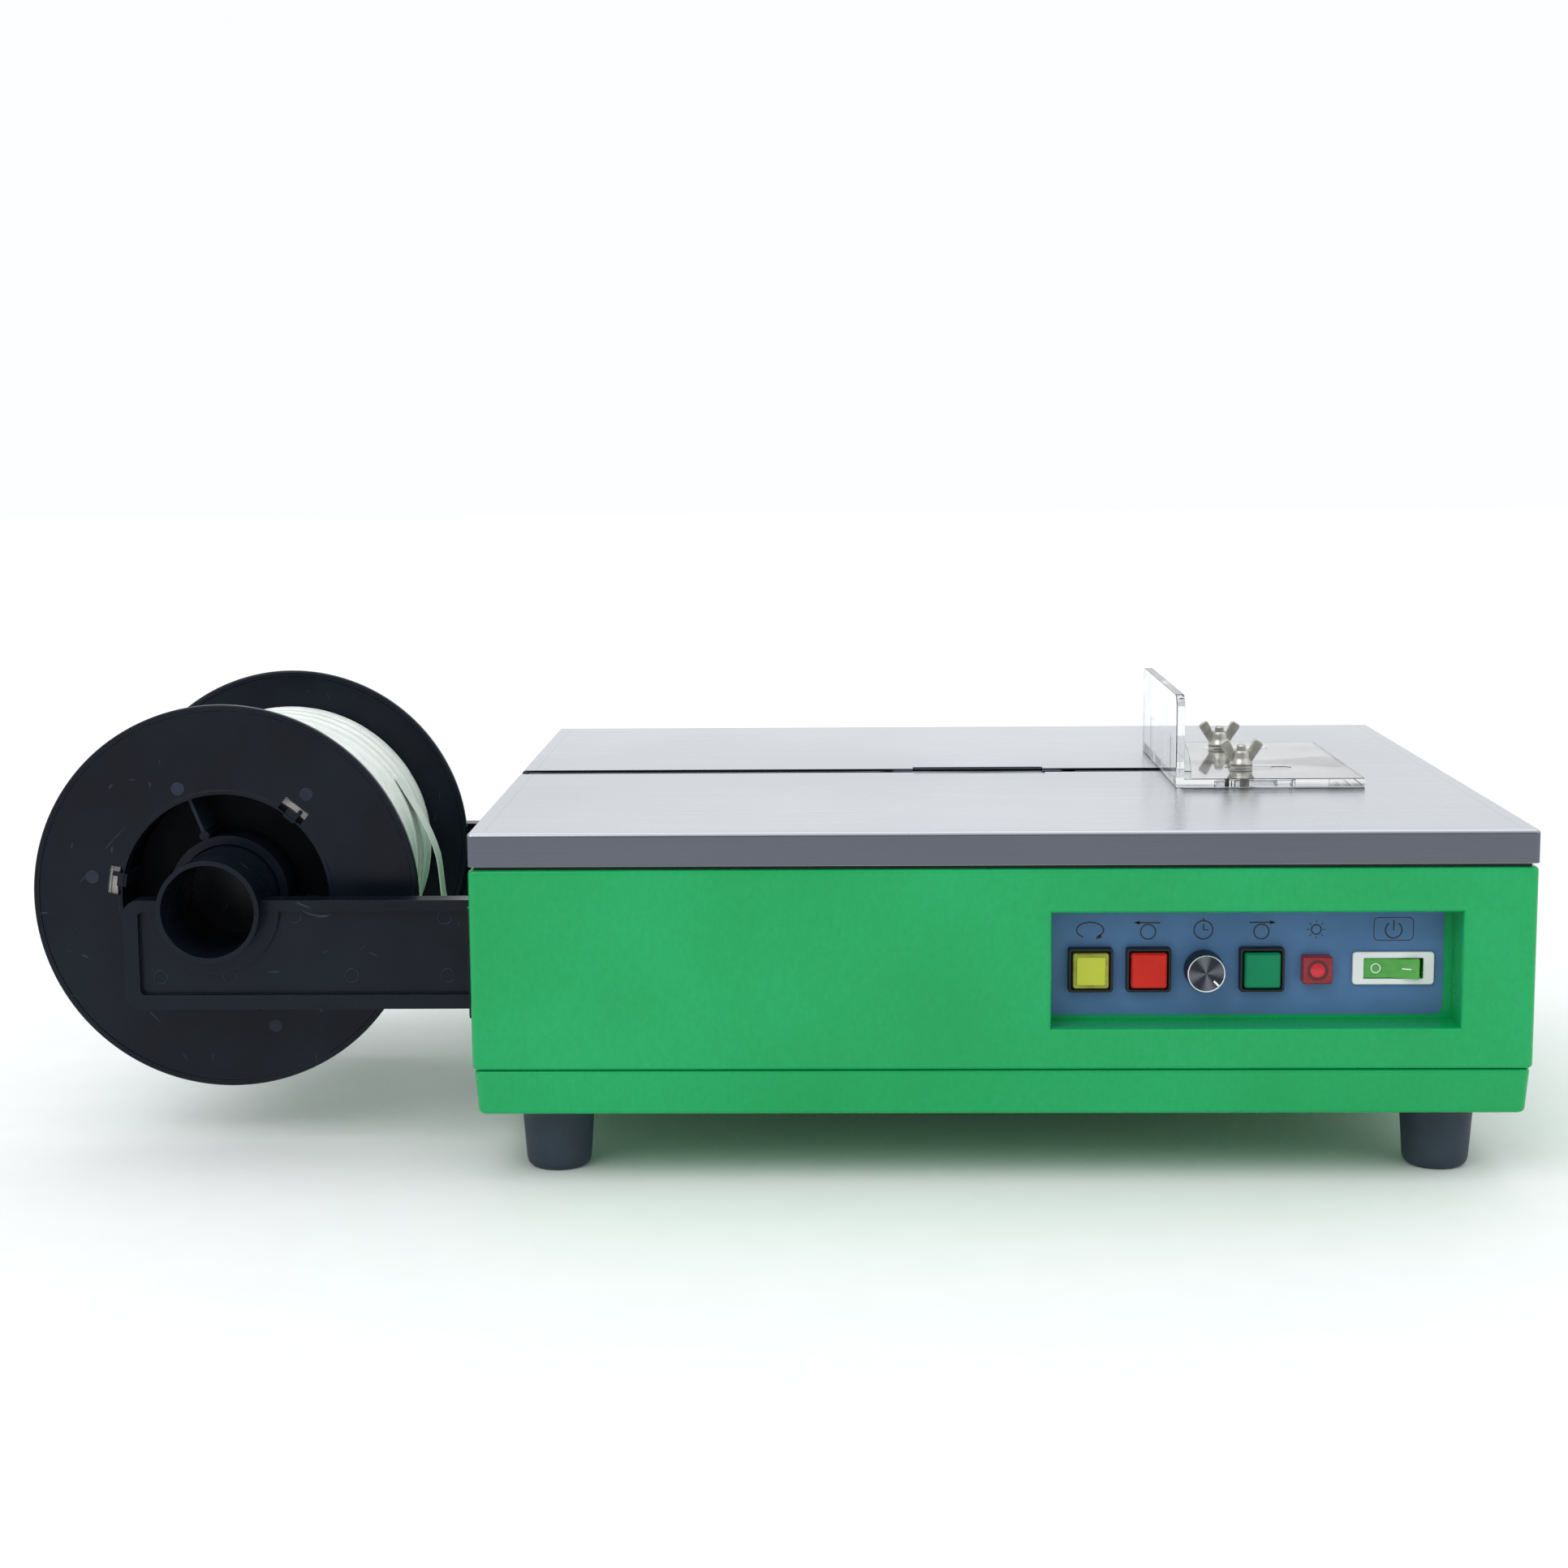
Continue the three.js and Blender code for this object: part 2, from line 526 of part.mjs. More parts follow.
// One half of the reel: flange, hub tube for the cardboard core, web, ribs and bearing boss.
// Local frame: y runs outwards from the reel's middle plane.
function reelHalf() {
  const { radius, halfWidth, flange } = REEL;
  const inner = halfWidth - flange;
  let half = turned([
    [HUB.bossBore, HUB.web], [HUB.bore, HUB.web], [HUB.bore, 0.5], [HUB.tube, 0.5], [HUB.tube, inner],
    [radius - 4, inner], [radius - 3, inner - 1.2], [radius, inner - 1.2], [radius, halfWidth],
    [HUB.bore, halfWidth], [HUB.bore, HUB.web + HUB.webThickness], [HUB.boss, HUB.web + HUB.webThickness],
    [HUB.boss, HUB.bossTop], [HUB.bossBore, HUB.bossTop], [HUB.bossBore, HUB.web],
  ], 40);
  for (let i = 0; i < HUB.ribs; i++) {
    const rib = new THREE.BoxGeometry(HUB.bore - HUB.boss + 2, 25, 2.4);
    rib.translate((HUB.bore + HUB.boss) / 2, HUB.web + 14, 0);
    rib.rotateY(THREE.MathUtils.degToRad(HUB.firstRib + i * 360 / HUB.ribs));
    half = half.add(solid(rib));
  }
  for (let i = 0; i < 3; i++) {
    const hatch = new THREE.BoxGeometry(7.6, 8, 14);
    hatch.translate(HUB.bore + 4.2, halfWidth - 2, 0);
    hatch.rotateY(THREE.MathUtils.degToRad(HUB.firstRib + 60 + i * 120));
    half = half.subtract(solid(hatch));
  }
  return half;
}

function ring(inner, outer, length, segments = 40) {
  const half = length / 2;
  return turned([[inner, -half], [outer, -half], [outer, half], [inner, half], [inner, -half]], segments);
}

// The strap follows the coil, leaves it, bulges a little, turns under the inlet roller and runs
// between the feed rollers up to the strapping head. The route is in X and Z; the strap lies flat.
const STRAP_LEAVES_COIL_DEG = [33, 30.5, 28];
const STRAP_ROUTE = [
  [-346.5, 168.5], [-339, 153], [-334.4, 139], [-332.8, 125], [-331, 110], [-324, 94],
  [-315, 82], [-306, 75.6], [-296, 73.8], [-286, 73.8], [-276, 74], [-200, 74], [-145, 74],
  [-118, 77], [-98, 90],
  [-88, 112], [-83, 138], [-76, 160], [-66, 173], [-57, 178],
];

function strapRoute() {
  const radius = COIL_RADIUS + STRAP.thickness / 2 + 0.4;
  const onCoil = STRAP_LEAVES_COIL_DEG.map((deg) => {
    const a = THREE.MathUtils.degToRad(deg);
    return [REEL.x + radius * Math.cos(a), REEL.z + radius * Math.sin(a)];
  });
  return [...onCoil, ...STRAP_ROUTE];
}

function strapLead() {
  const path = new THREE.CatmullRomCurve3(strapRoute().map(([x, z]) => new THREE.Vector3(x, z, 0)));
  const steps = 56;
  const half = STRAP.thickness / 2;
  const sides = [-1, 1].map((side) => {
    const edge = [];
    for (let i = 0; i <= steps; i++) {
      const p = path.getPointAt(i / steps);
      const t = path.getTangentAt(i / steps);
      edge.push([p.x - side * half * t.y, p.y + side * half * t.x]);
    }
    return edge;
  });
  const outline = polygon([...sides[0], ...sides[1].reverse()]);
  return reaching(outline, SLOT.y - STRAP.width / 2, SLOT.y + STRAP.width / 2);
}

// Moulded mouth round the strap's hole, with two ears that carry the roller's pins.
function strapInletGuide() {
  const outer = SIDE_X - GAP;
  const half = INLET.width / 2;
  const rollerZ = INLET.strapZ + STRAP.thickness / 2 + GAP + INLET.rollerRadius;
  let guide = box(outer - 3, outer, SLOT.y - half - 8, SLOT.y + half + 8, INLET.strapZ - 9, rollerZ + 12);
  for (const side of [-1, 1]) {
    const [a, b] = [SLOT.y + side * (half - 1), SLOT.y + side * (half + 2)].sort((p, q) => p - q);
    guide = guide.add(box(INLET.rollerX - 6, outer - 1, a, b, rollerZ - 6, rollerZ + 6));
    guide = guide.subtract(cylinder('y', 2.8, a - 1, b + 1, INLET.rollerX, rollerZ, 12));
  }
  const near = SLOT.y - half + 2;
  const far = SLOT.y + half - 2;
  return guide.subtract(box(outer - 4, outer + 1, near, far, INLET.strapZ - 5, INLET.strapZ + 6));
}

// A grooveless roller on its own pin, which turns in the guide's ears.
function inletRoller() {
  const half = INLET.width / 2;
  return cylinder('y', INLET.rollerRadius, -half + 1.6, half - 1.6, 0, 0, 28)
    .add(cylinder('y', 2.5, -half - 2, half + 2, 0, 0, 12));
}

// ---------------------------------------------------------------- strapping head and drive
const FLOOR = TRAY.bottom + SHEET + GAP; // pieces inside stand on the tray's floor

// Two bearing plates on a foot, joined by the block that guides the three presses.
function headFrame() {
  const plateIn = 47;
  const plateOut = 53;
  let frame = box(-plateOut, plateOut, SLOT.y - 48, SLOT.y + 48, FLOOR, FLOOR + 5)
    .add(box(-plateOut, plateOut, SLOT.y - 15, SLOT.y + 15, 150, 164))
    .add(box(36, plateOut, HEATER.y - 8, SLOT.y - 14, 150, 164))
    .add(cylinder('z', 6, 160, HEATER.bottom - GAP, HEATER.x, HEATER.y, 14));
  for (const side of [-1, 1]) {
    const [a, b] = [side * plateIn, side * plateOut].sort((p, q) => p - q);
    frame = frame.add(box(a, b, SLOT.y - 36, SLOT.y + 36, FLOOR + 4, 170));
    frame = frame.add(box(a, b, SLOT.y - 16, SLOT.y + 40, 168, 184.9));
  }
  frame = frame.subtract(cylinder('x', 8.4, -60, 60, SLOT.y, CAM_AXIS_Z, 24));
  frame = frame.subtract(box(-60, -40, SLOT.y - 10, SLOT.y + 10, 168, 182));
  frame = frame.subtract(cylinder('z', 3.3, 158, HEATER.bottom + 1, HEATER.x, HEATER.y, 12));
  const half = PRESS.rodWidth / 2 + 0.4;
  for (const x of Object.values(PRESS_X)) {
    frame = frame.subtract(box(x - half, x + half, SLOT.y - half, SLOT.y + half, 149, 165));
  }
  return frame;
}

function camshaft() {
  return cylinder('x', 8, -60, 78, 0, 0, 12);
}

// A round plate cam bored off its middle; deg turns the high side about the shaft.
function cam(x, deg) {
  const a = THREE.MathUtils.degToRad(deg);
  const from = x - CAM.width / 2;
  const to = x + CAM.width / 2;
  return cylinder('x', CAM.radius, from, to, CAM.offset * Math.cos(a), CAM.offset * Math.sin(a), 20)
    .subtract(cylinder('x', CAM.bore, from - 1, to + 1, 0, 0, 24));
}

// Pulley about X with a lip on each side of the belt.
function pulleyProfile(groove, bore) {
  const { left, width, flange, lip } = PULLEY;
  const right = left + width;
  return [
    [bore, left], [groove + lip, left], [groove + lip, left + flange], [groove, left + flange],
    [groove, right - flange], [groove + lip, right - flange], [groove + lip, right], [bore, right],
    [bore, left],
  ];
}

function camPulley() {
  return turned(pulleyProfile(PULLEY.camGroove, 8.3), 28, 'x');
}

// The motor's pulley on the end of the motor's own shaft.
function motorPulley() {
  return turned(pulleyProfile(PULLEY.motorGroove, 5), 20, 'x')
    .add(cylinder('x', 6, PULLEY.left, MOTOR.left + 22, 0, 0, 14));
}

function driveMotor() {
  const { y, z, radius, left, right } = MOTOR;
  const body = turned([[0, left + 4], [16, left + 4], [18, left], [radius - 8, left], [radius, left + 8],
    [radius, right - 6], [radius - 6, right], [0, right]], 24, 'x').translate([0, y, z]);
  return body.add(box(left + 14, right - 14, y - 34, y + 34, FLOOR, FLOOR + 6))
    .add(box(left + 20, right - 20, y - 24, y + 24, FLOOR + 5, z - 20))
    .add(box(left + 40, right - 26, y - 22, y + 22, z + 30, z + 52))
    .subtract(cylinder('x', 6.4, left - 1, left + 24, y, z, 14));
}

// A flat belt round both pulleys: two arcs joined by the straight runs that touch them.
function beltLoop(outset) {
  const big = PULLEY.camGroove + outset;
  const small = PULLEY.motorGroove + outset;
  const span = MOTOR.y - SLOT.y;
  const lean = Math.acos((big - small) / span);
  const loop = new THREE.Shape();
  loop.absarc(0, 0, big, lean, 2 * Math.PI - lean, false);
  loop.absarc(span, 0, small, -lean, lean, false);
  loop.closePath();
  return loop;
}

function driveBelt() {
  const outer = beltLoop(GAP + 2);
  outer.holes.push(beltLoop(GAP));
  const width = PULLEY.width - 2 * PULLEY.flange - 1;
  const belt = new THREE.ExtrudeGeometry(outer, { depth: width, bevelEnabled: false, curveSegments: 12 });
  belt.rotateX(Math.PI / 2).rotateZ(Math.PI / 2);
  belt.translate(PULLEY.left + PULLEY.flange + 0.5, SLOT.y, CAM_AXIS_Z);
  return solid(belt);
}

// A press: a square rod with a head that rests on the guide block; the cam lifts its foot.
function press(headWidth, headDepth) {
  const half = PRESS.rodWidth / 2;
  const footZ = CAM_AXIS_Z + CAM.radius + CAM.offset + 0.5;
  const headX = headWidth / 2;
  const headY = headDepth / 2;
  return box(-half, half, -half, half, footZ, PRESS.rest - 1)
    .add(box(-headX, headX, -headY, headY, PRESS.rest - PRESS.headHeight, PRESS.rest));
}

// The middle press carries the blade that cuts the strap beside it.
function cutterPress() {
  return press(17, 16)
    .subtract(box(-9, 9, -5, 5, PRESS.rest - 2, PRESS.rest + 1))
    .add(box(6.5, 8.5, -9, 9, PRESS.rest - 3, PRESS.rest + 0.5));
}

// Flat blade on a vertical pin, which swings in over the middle press.
function heaterArm() {
  const { bottom, thickness, reach } = HEATER;
  const top = bottom + thickness;
  return box(-reach, 0, -4, 4, bottom, top)
    .add(box(-reach, -reach + 22, -7, 7, bottom, top))
    .add(cylinder('z', 7, bottom, top, 0, 0, 14))
    .add(cylinder('z', 3, bottom - 18, bottom + 1, 0, 0, 12));
}

// The plate that the strap is pressed against; it draws back to let the finished strap go.
function anvilSlide() {
  const top = TABLE.top - TABLE.sheet - 0.4;
  return box(-52, 52, -14, 14, top - 4, top)
    .subtract(box(-30, 30, -1, 1, top - 1, top + 1));
}

// Two upright plates that carry the feed roller above and the pinch roller below the strap.
const FEED_Z = INLET.strapZ + STRAP.thickness / 2 + GAP + FEED.feedRadius;
const PINCH_Z = INLET.strapZ - STRAP.thickness / 2 - GAP - FEED.pinchRadius;

function feedBracket() {
  const inside = FEED.width / 2 + 3;
  let bracket = box(FEED.x - 34, FEED.x + 34, SLOT.y - inside - 4, SLOT.y + inside + 4, FLOOR, FLOOR + 4);
  for (const side of [-1, 1]) {
    const [a, b] = [SLOT.y + side * inside, SLOT.y + side * (inside + 4)].sort((p, q) => p - q);
    bracket = bracket.add(box(FEED.x - 24, FEED.x + 24, a, b, FLOOR + 3, FEED_Z + 24));
  }
  for (const z of [FEED_Z, PINCH_Z]) {
    const radius = FEED.axleRadius + 0.4;
    const end = inside + 6;
    bracket = bracket.subtract(cylinder('y', radius, SLOT.y - end, SLOT.y + end, FEED.x, z, 14));
  }
  return bracket;
}

function roller(radius) {
  const half = FEED.width / 2;
  return cylinder('y', radius, -half, half, 0, 0, 14)
    .add(cylinder('y', FEED.axleRadius, -half - 9, half + 9, 0, 0, 14));
}

// ---------------------------------------------------------------- electrical pieces inside
function transformer() {
  return box(-38, 38, -34, 34, FLOOR, FLOOR + 3)
    .add(box(-35, 35, -22, 22, FLOOR + 2, FLOOR + 60))
    .add(box(-22, 22, -32, 32, FLOOR + 12, FLOOR + 50));
}

function controlBoard() {
  const deck = FLOOR + 10;
  let board = box(-75, 75, -42, 42, deck, deck + 1.6);
  for (const sx of [-1, 1]) {
    for (const sy of [-1, 1]) board = board.add(cylinder('z', 3, FLOOR, deck + 1, sx * 69, sy * 36, 12));
  }
  for (const x of [-52, -30, -8, 14]) board = board.add(box(x - 9, x + 9, -36, -14, deck + 1, deck + 17));
  for (const x of [-40, -10]) board = board.add(cylinder('z', 8, deck + 1, deck + 26, x, 18, 14));
  return board.add(box(30, 66, -30, 24, deck + 1, deck + 7))
    .add(box(-66, 66, 34, 41, deck + 1, deck + 11));
}

// ---------------------------------------------------------------- assembly
const machine = new THREE.Group();
const cabinet = groupAt(machine, 0, 0, 0);
addPiece(cabinet, 'base_tray', baseTray(), GREEN_PAINT);
addPiece(cabinet, 'cabinet_shell', cabinetShell(), GREEN_PAINT);
addPiece(cabinet, 'rear_cover', rearCover(), GREEN_PAINT);
addPiece(cabinet, 'table_top', tableTop(), STAINLESS);
addPiece(cabinet, 'power_inlet', powerInlet(), BEZEL_BLACK);
for (const [depthName, sy] of [['front', -1], ['rear', 1]]) {
  for (const [sideName, sx] of [['left', -1], ['right', 1]]) {
    const piece = addPiece(cabinet, `foot_${depthName}_${sideName}`, foot(), RUBBER);
    piece.position.set(sx * FOOT.x, sy * FOOT.y, 0);
  }
}

const controls = groupAt(machine, 0, PANEL_FACE_Y, PANEL_ROW_Z);
addPiece(controls, 'control_plate', controlPlate(), BLUE_PANEL);
for (const [name, look] of [['reset', YELLOW_CAP], ['back', RED_CAP], ['feed', GREEN_CAP]]) {
  addPiece(controls, `${name}_button_bezel`, buttonBezel(), BEZEL_BLACK).position.x = BUTTON_X[name];
  addPiece(controls, `${name}_button`, buttonCap(), look).position.x = BUTTON_X[name];
}
addPiece(controls, 'timer_knob', timerKnob(), KNOB_METAL).position.x = KNOB_X;
addPiece(controls, 'timer_potentiometer', timerPotentiometer(), STEEL).position.x = KNOB_X;
addPiece(controls, 'power_lamp', powerLamp(), RED_LENS).position.x = LAMP_X;
addPiece(controls, 'switch_bezel', switchBezel(), WHITE_PLASTIC).position.x = SWITCH_X;
const rocker = addPiece(controls, 'switch_rocker', switchRocker(), ROCKER_GREEN);
rocker.position.set(SWITCH_X, SWITCH_PIVOT_Y, 0);
rocker.rotation.z = THREE.MathUtils.degToRad(-SWITCH.tilt);

const stop = groupAt(machine, STOP.left, STOP.y, TABLE.top + GAP);
addPiece(stop, 'side_stop', sideStop(), ACRYLIC);
for (const [name, y] of [['front', STUD.frontY], ['rear', STUD.rearY]]) {
  addPiece(machine, `stop_stud_${name}`, stopStud(), ZINC).position.set(STUD.x, y, 0);
  addPiece(machine, `stop_washer_${name}`, stopWasher(), ZINC).position.set(STUD.x, y, STOP_TOP + GAP);
  addPiece(machine, `wing_nut_${name}`, wingNut(), ZINC).position.set(STUD.x, y, WASHER_TOP + GAP);
}

addPiece(machine, 'reel_arm_front', reelArm(-1), BLACK_PLASTIC);
addPiece(machine, 'reel_arm_rear', reelArm(1), BLACK_PLASTIC);
const screwNames = ['front_outer', 'front_inner', 'rear_outer', 'rear_inner'];
armScrewPlaces().forEach(([y, z], i) => {
  const screw = addPiece(machine, `arm_screw_${screwNames[i]}`, armScrew(), ZINC);
  screw.position.set(SIDE_X - GAP - ARM_FOOT.thickness - GAP, y, z);
});

const reel = groupAt(machine, REEL.x, REEL.y, REEL.z);
const frontHalf = addPiece(reel, 'reel_flange_front', reelHalf(), BLACK_PLASTIC);
frontHalf.rotation.z = Math.PI; // turns the half over, so that its outside faces the operator
addPiece(reel, 'reel_flange_rear', reelHalf(), BLACK_PLASTIC);
const coilWidth = 2 * (REEL.halfWidth - REEL.flange - 1.2) - 2 * GAP;
addPiece(reel, 'paper_core', ring(CORE.inner, CORE.outer, coilWidth), CARD);
addPiece(reel, 'strap_coil', ring(CORE.outer + GAP, COIL_RADIUS, coilWidth), STRAP_WHITE);
addPiece(machine, 'strap_lead', strapLead(), STRAP_WHITE);
addPiece(machine, 'strap_inlet_guide', strapInletGuide(), BLACK_PLASTIC);
const inletRollerZ = INLET.strapZ + STRAP.thickness / 2 + GAP + INLET.rollerRadius;
addPiece(machine, 'inlet_roller', inletRoller(), STEEL).position.set(INLET.rollerX, SLOT.y, inletRollerZ);

addPiece(machine, 'head_frame', headFrame(), CAST_IRON);
const shaft = groupAt(machine, 0, SLOT.y, CAM_AXIS_Z);
addPiece(shaft, 'camshaft', camshaft(), STEEL);
addPiece(shaft, 'left_gripper_cam', cam(PRESS_X.left, 200), STEEL);
addPiece(shaft, 'cutter_cam', cam(PRESS_X.middle, 270), STEEL);
addPiece(shaft, 'right_gripper_cam', cam(PRESS_X.right, 330), STEEL);
addPiece(shaft, 'cam_pulley', camPulley(), STEEL);
addPiece(machine, 'drive_belt', driveBelt(), BELT_RUBBER);
addPiece(machine, 'drive_motor', driveMotor(), CAST_IRON);
addPiece(machine, 'motor_pulley', motorPulley(), STEEL).position.set(0, MOTOR.y, MOTOR.z);
addPiece(machine, 'left_gripper', press(20, 22), STEEL).position.set(PRESS_X.left, SLOT.y, 0);
addPiece(machine, 'cutter_press', cutterPress(), STEEL).position.set(PRESS_X.middle, SLOT.y, 0);
addPiece(machine, 'right_gripper', press(20, 22), STEEL).position.set(PRESS_X.right, SLOT.y, 0);
addPiece(machine, 'heater_arm', heaterArm(), COPPER).position.set(HEATER.x, HEATER.y, 0);
addPiece(machine, 'anvil_slide', anvilSlide(), STAINLESS).position.y = SLOT.y;
addPiece(machine, 'feed_bracket', feedBracket(), STEEL);
addPiece(machine, 'feed_roller', roller(FEED.feedRadius), BELT_RUBBER).position.set(FEED.x, SLOT.y, FEED_Z);
addPiece(machine, 'pinch_roller', roller(FEED.pinchRadius), STEEL).position.set(FEED.x, SLOT.y, PINCH_Z);
addPiece(machine, 'transformer', transformer(), COPPER).position.set(-205, 120, 0);
addPiece(machine, 'control_board', controlBoard(), BOARD_GREEN).position.set(150, -110, 0);

// The origin is the middle of the whole machine's outline: reel on the left, table on the right.
const leftmost = REEL.x - REEL.radius;
machine.position.x = -(leftmost + TABLE.width / 2) / 2;

export default machine;
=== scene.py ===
"""Looks of the bench strapping machine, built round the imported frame.

Shapes are drawn in millimetres about the middle of the cabinet's footprint on the bench,
and piece() turns them into metres in the frame. +X is right, +Y away, +Z up.
"""

import math

import bmesh
import bpy
from mathutils import Matrix, Vector


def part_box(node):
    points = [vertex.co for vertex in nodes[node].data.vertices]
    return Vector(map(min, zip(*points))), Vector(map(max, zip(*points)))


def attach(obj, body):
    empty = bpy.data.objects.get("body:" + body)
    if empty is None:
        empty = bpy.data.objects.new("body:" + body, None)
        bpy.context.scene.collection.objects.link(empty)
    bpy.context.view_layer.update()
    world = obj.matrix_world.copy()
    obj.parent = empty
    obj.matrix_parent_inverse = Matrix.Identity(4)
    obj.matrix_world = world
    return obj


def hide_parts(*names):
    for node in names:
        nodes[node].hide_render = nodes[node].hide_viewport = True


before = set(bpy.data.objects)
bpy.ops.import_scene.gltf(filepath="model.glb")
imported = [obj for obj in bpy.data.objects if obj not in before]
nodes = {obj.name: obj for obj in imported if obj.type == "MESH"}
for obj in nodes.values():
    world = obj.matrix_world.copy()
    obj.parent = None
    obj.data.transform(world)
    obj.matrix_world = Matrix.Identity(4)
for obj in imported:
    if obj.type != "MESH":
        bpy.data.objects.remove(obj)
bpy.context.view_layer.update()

MM = 0.001


def box_mm(node):
    """Lowest and highest corner of a CAD node in millimetres about the cabinet's middle."""
    low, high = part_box(node)
    shift = Vector((MIDDLE_X, 0, 0))
    return (low - shift) / MM, (high - shift) / MM


def middle(node, letters):
    """Middle of a CAD node's box along each of the named axes, in millimetres."""
    low, high = box_mm(node)
    return [(getattr(low, letter) + getattr(high, letter)) / 2 for letter in letters]


table_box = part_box("table_top")
MIDDLE_X = (table_box[0].x + table_box[1].x) / 2
TABLE_LOW, TABLE_HIGH = box_mm("table_top")
SHELL_LOW, SHELL_HIGH = box_mm("cabinet_shell")
TRAY_LOW, TRAY_HIGH = box_mm("base_tray")
REEL_LOW, REEL_HIGH = box_mm("reel_flange_front")
REEL_X = (REEL_LOW.x + REEL_HIGH.x) / 2
REEL_Z = (REEL_LOW.z + REEL_HIGH.z) / 2
REEL_R = (REEL_HIGH.x - REEL_LOW.x) / 2
REEL_Y = (REEL_LOW.y + box_mm("reel_flange_rear")[1].y) / 2
PANEL_Y = box_mm("control_plate")[0].y
KNOB_LOW, KNOB_HIGH = box_mm("timer_knob")
KNOB_X, ROW_Z = middle("timer_knob", "xz")

# the strap slot's middle and half its width
SLOT_Y = 6
SLOT_HALF = 9
# left, right, sill and head of the sunk window for the controls
WINDOW = (27, 243.2, 85, 147.4)
# the two studs of the side stop
STUD_X = 156
STUD_SIDES = (-26, 66)
ARM_SCREWS = ("front_outer", "front_inner", "rear_outer", "rear_inner")
RANGE_SOCKETS = ("From Min", "From Max", "To Min", "To Max")


# ---------------------------------------------------------------- camera, light, floor
def set_camera():
    pitch, roll, yaw = (math.radians(a) for a in (-8.158, -0.445, 1.352))
    forward = Vector((-math.sin(yaw) * math.cos(pitch), math.cos(yaw) * math.cos(pitch), math.sin(pitch)))
    level = Vector((math.cos(yaw), math.sin(yaw), 0))
    up = level.cross(forward)
    right = level * math.cos(roll) + up * math.sin(roll)
    up = up * math.cos(roll) - level * math.sin(roll)
    data = bpy.data.cameras.new("camera")
    data.lens = 59.852
    data.sensor_width = 36
    camera = bpy.data.objects.new("camera", data)
    camera.matrix_world = Matrix.Translation((0.04809, -1.584864, 0.411584)) @ Matrix(
        (right, up, -forward)).transposed().to_4x4()
    bpy.context.scene.collection.objects.link(camera)
    bpy.context.scene.camera = camera


def add_light(name, place, power, softness):
    """A distant soft light, so that the floor is lit evenly; softness is its width in degrees."""
    data = bpy.data.lights.new(name, "SUN")
    data.energy = power
    data.angle = math.radians(softness)
    light = bpy.data.objects.new(name, data)
    light.location = place
    light.rotation_euler = (Vector((0, 0, 0.12)) - Vector(place)).to_track_quat("-Z", "Y").to_euler()
    bpy.context.scene.collection.objects.link(light)


def set_studio():
    """White backdrop whose light is dimmer on the operator's side, and three wide soft lights."""
    world = bpy.data.worlds.new("studio")
    world.use_nodes = True
    tree = world.node_tree
    background = tree.nodes["Background"]
    background.inputs["Color"].default_value = (0.98, 0.99, 1, 1)
    split = tree.nodes.new("ShaderNodeSeparateXYZ")
    blend = tree.nodes.new("ShaderNodeMath")
    level = tree.nodes.new("ShaderNodeMapRange")
    blend.operation = "MULTIPLY_ADD"
    blend.inputs[1].default_value = 0.7
    for socket, number in zip(RANGE_SOCKETS, (-0.8, 0.25, 0.34, 0.96)):
        level.inputs[socket].default_value = number
    tree.links.new(tree.nodes.new("ShaderNodeTexCoord").outputs["Generated"], split.inputs[0])
    tree.links.new(split.outputs["Y"], blend.inputs[0])
    tree.links.new(split.outputs["Z"], blend.inputs[2])
    tree.links.new(blend.outputs[0], level.inputs["Value"])
    # the camera sees the backdrop plain white
    seen = tree.nodes.new("ShaderNodeMath")
    seen.operation = "MAXIMUM"
    tree.links.new(level.outputs["Result"], seen.inputs[0])
    tree.links.new(tree.nodes.new("ShaderNodeLightPath").outputs["Is Camera Ray"], seen.inputs[1])
    tree.links.new(seen.outputs[0], background.inputs["Strength"])
    bpy.context.scene.world = world
    bpy.context.scene.view_settings.view_transform = "Standard"
    add_light("key", (-1.6, -2.2, 2.6), 0.75, 40)
    add_light("top", (0.2, 0.5, 2.8), 0.35, 60)
    add_light("fill", (2.4, -1.6, 1.4), 0.25, 50)


# ---------------------------------------------------------------- materials
def srgb(r, g, b):
    def linear(c):
        c /= 255
        return c / 12.92 if c <= 0.04045 else ((c + 0.055) / 1.055) ** 2.4
    return linear(r), linear(g), linear(b), 1


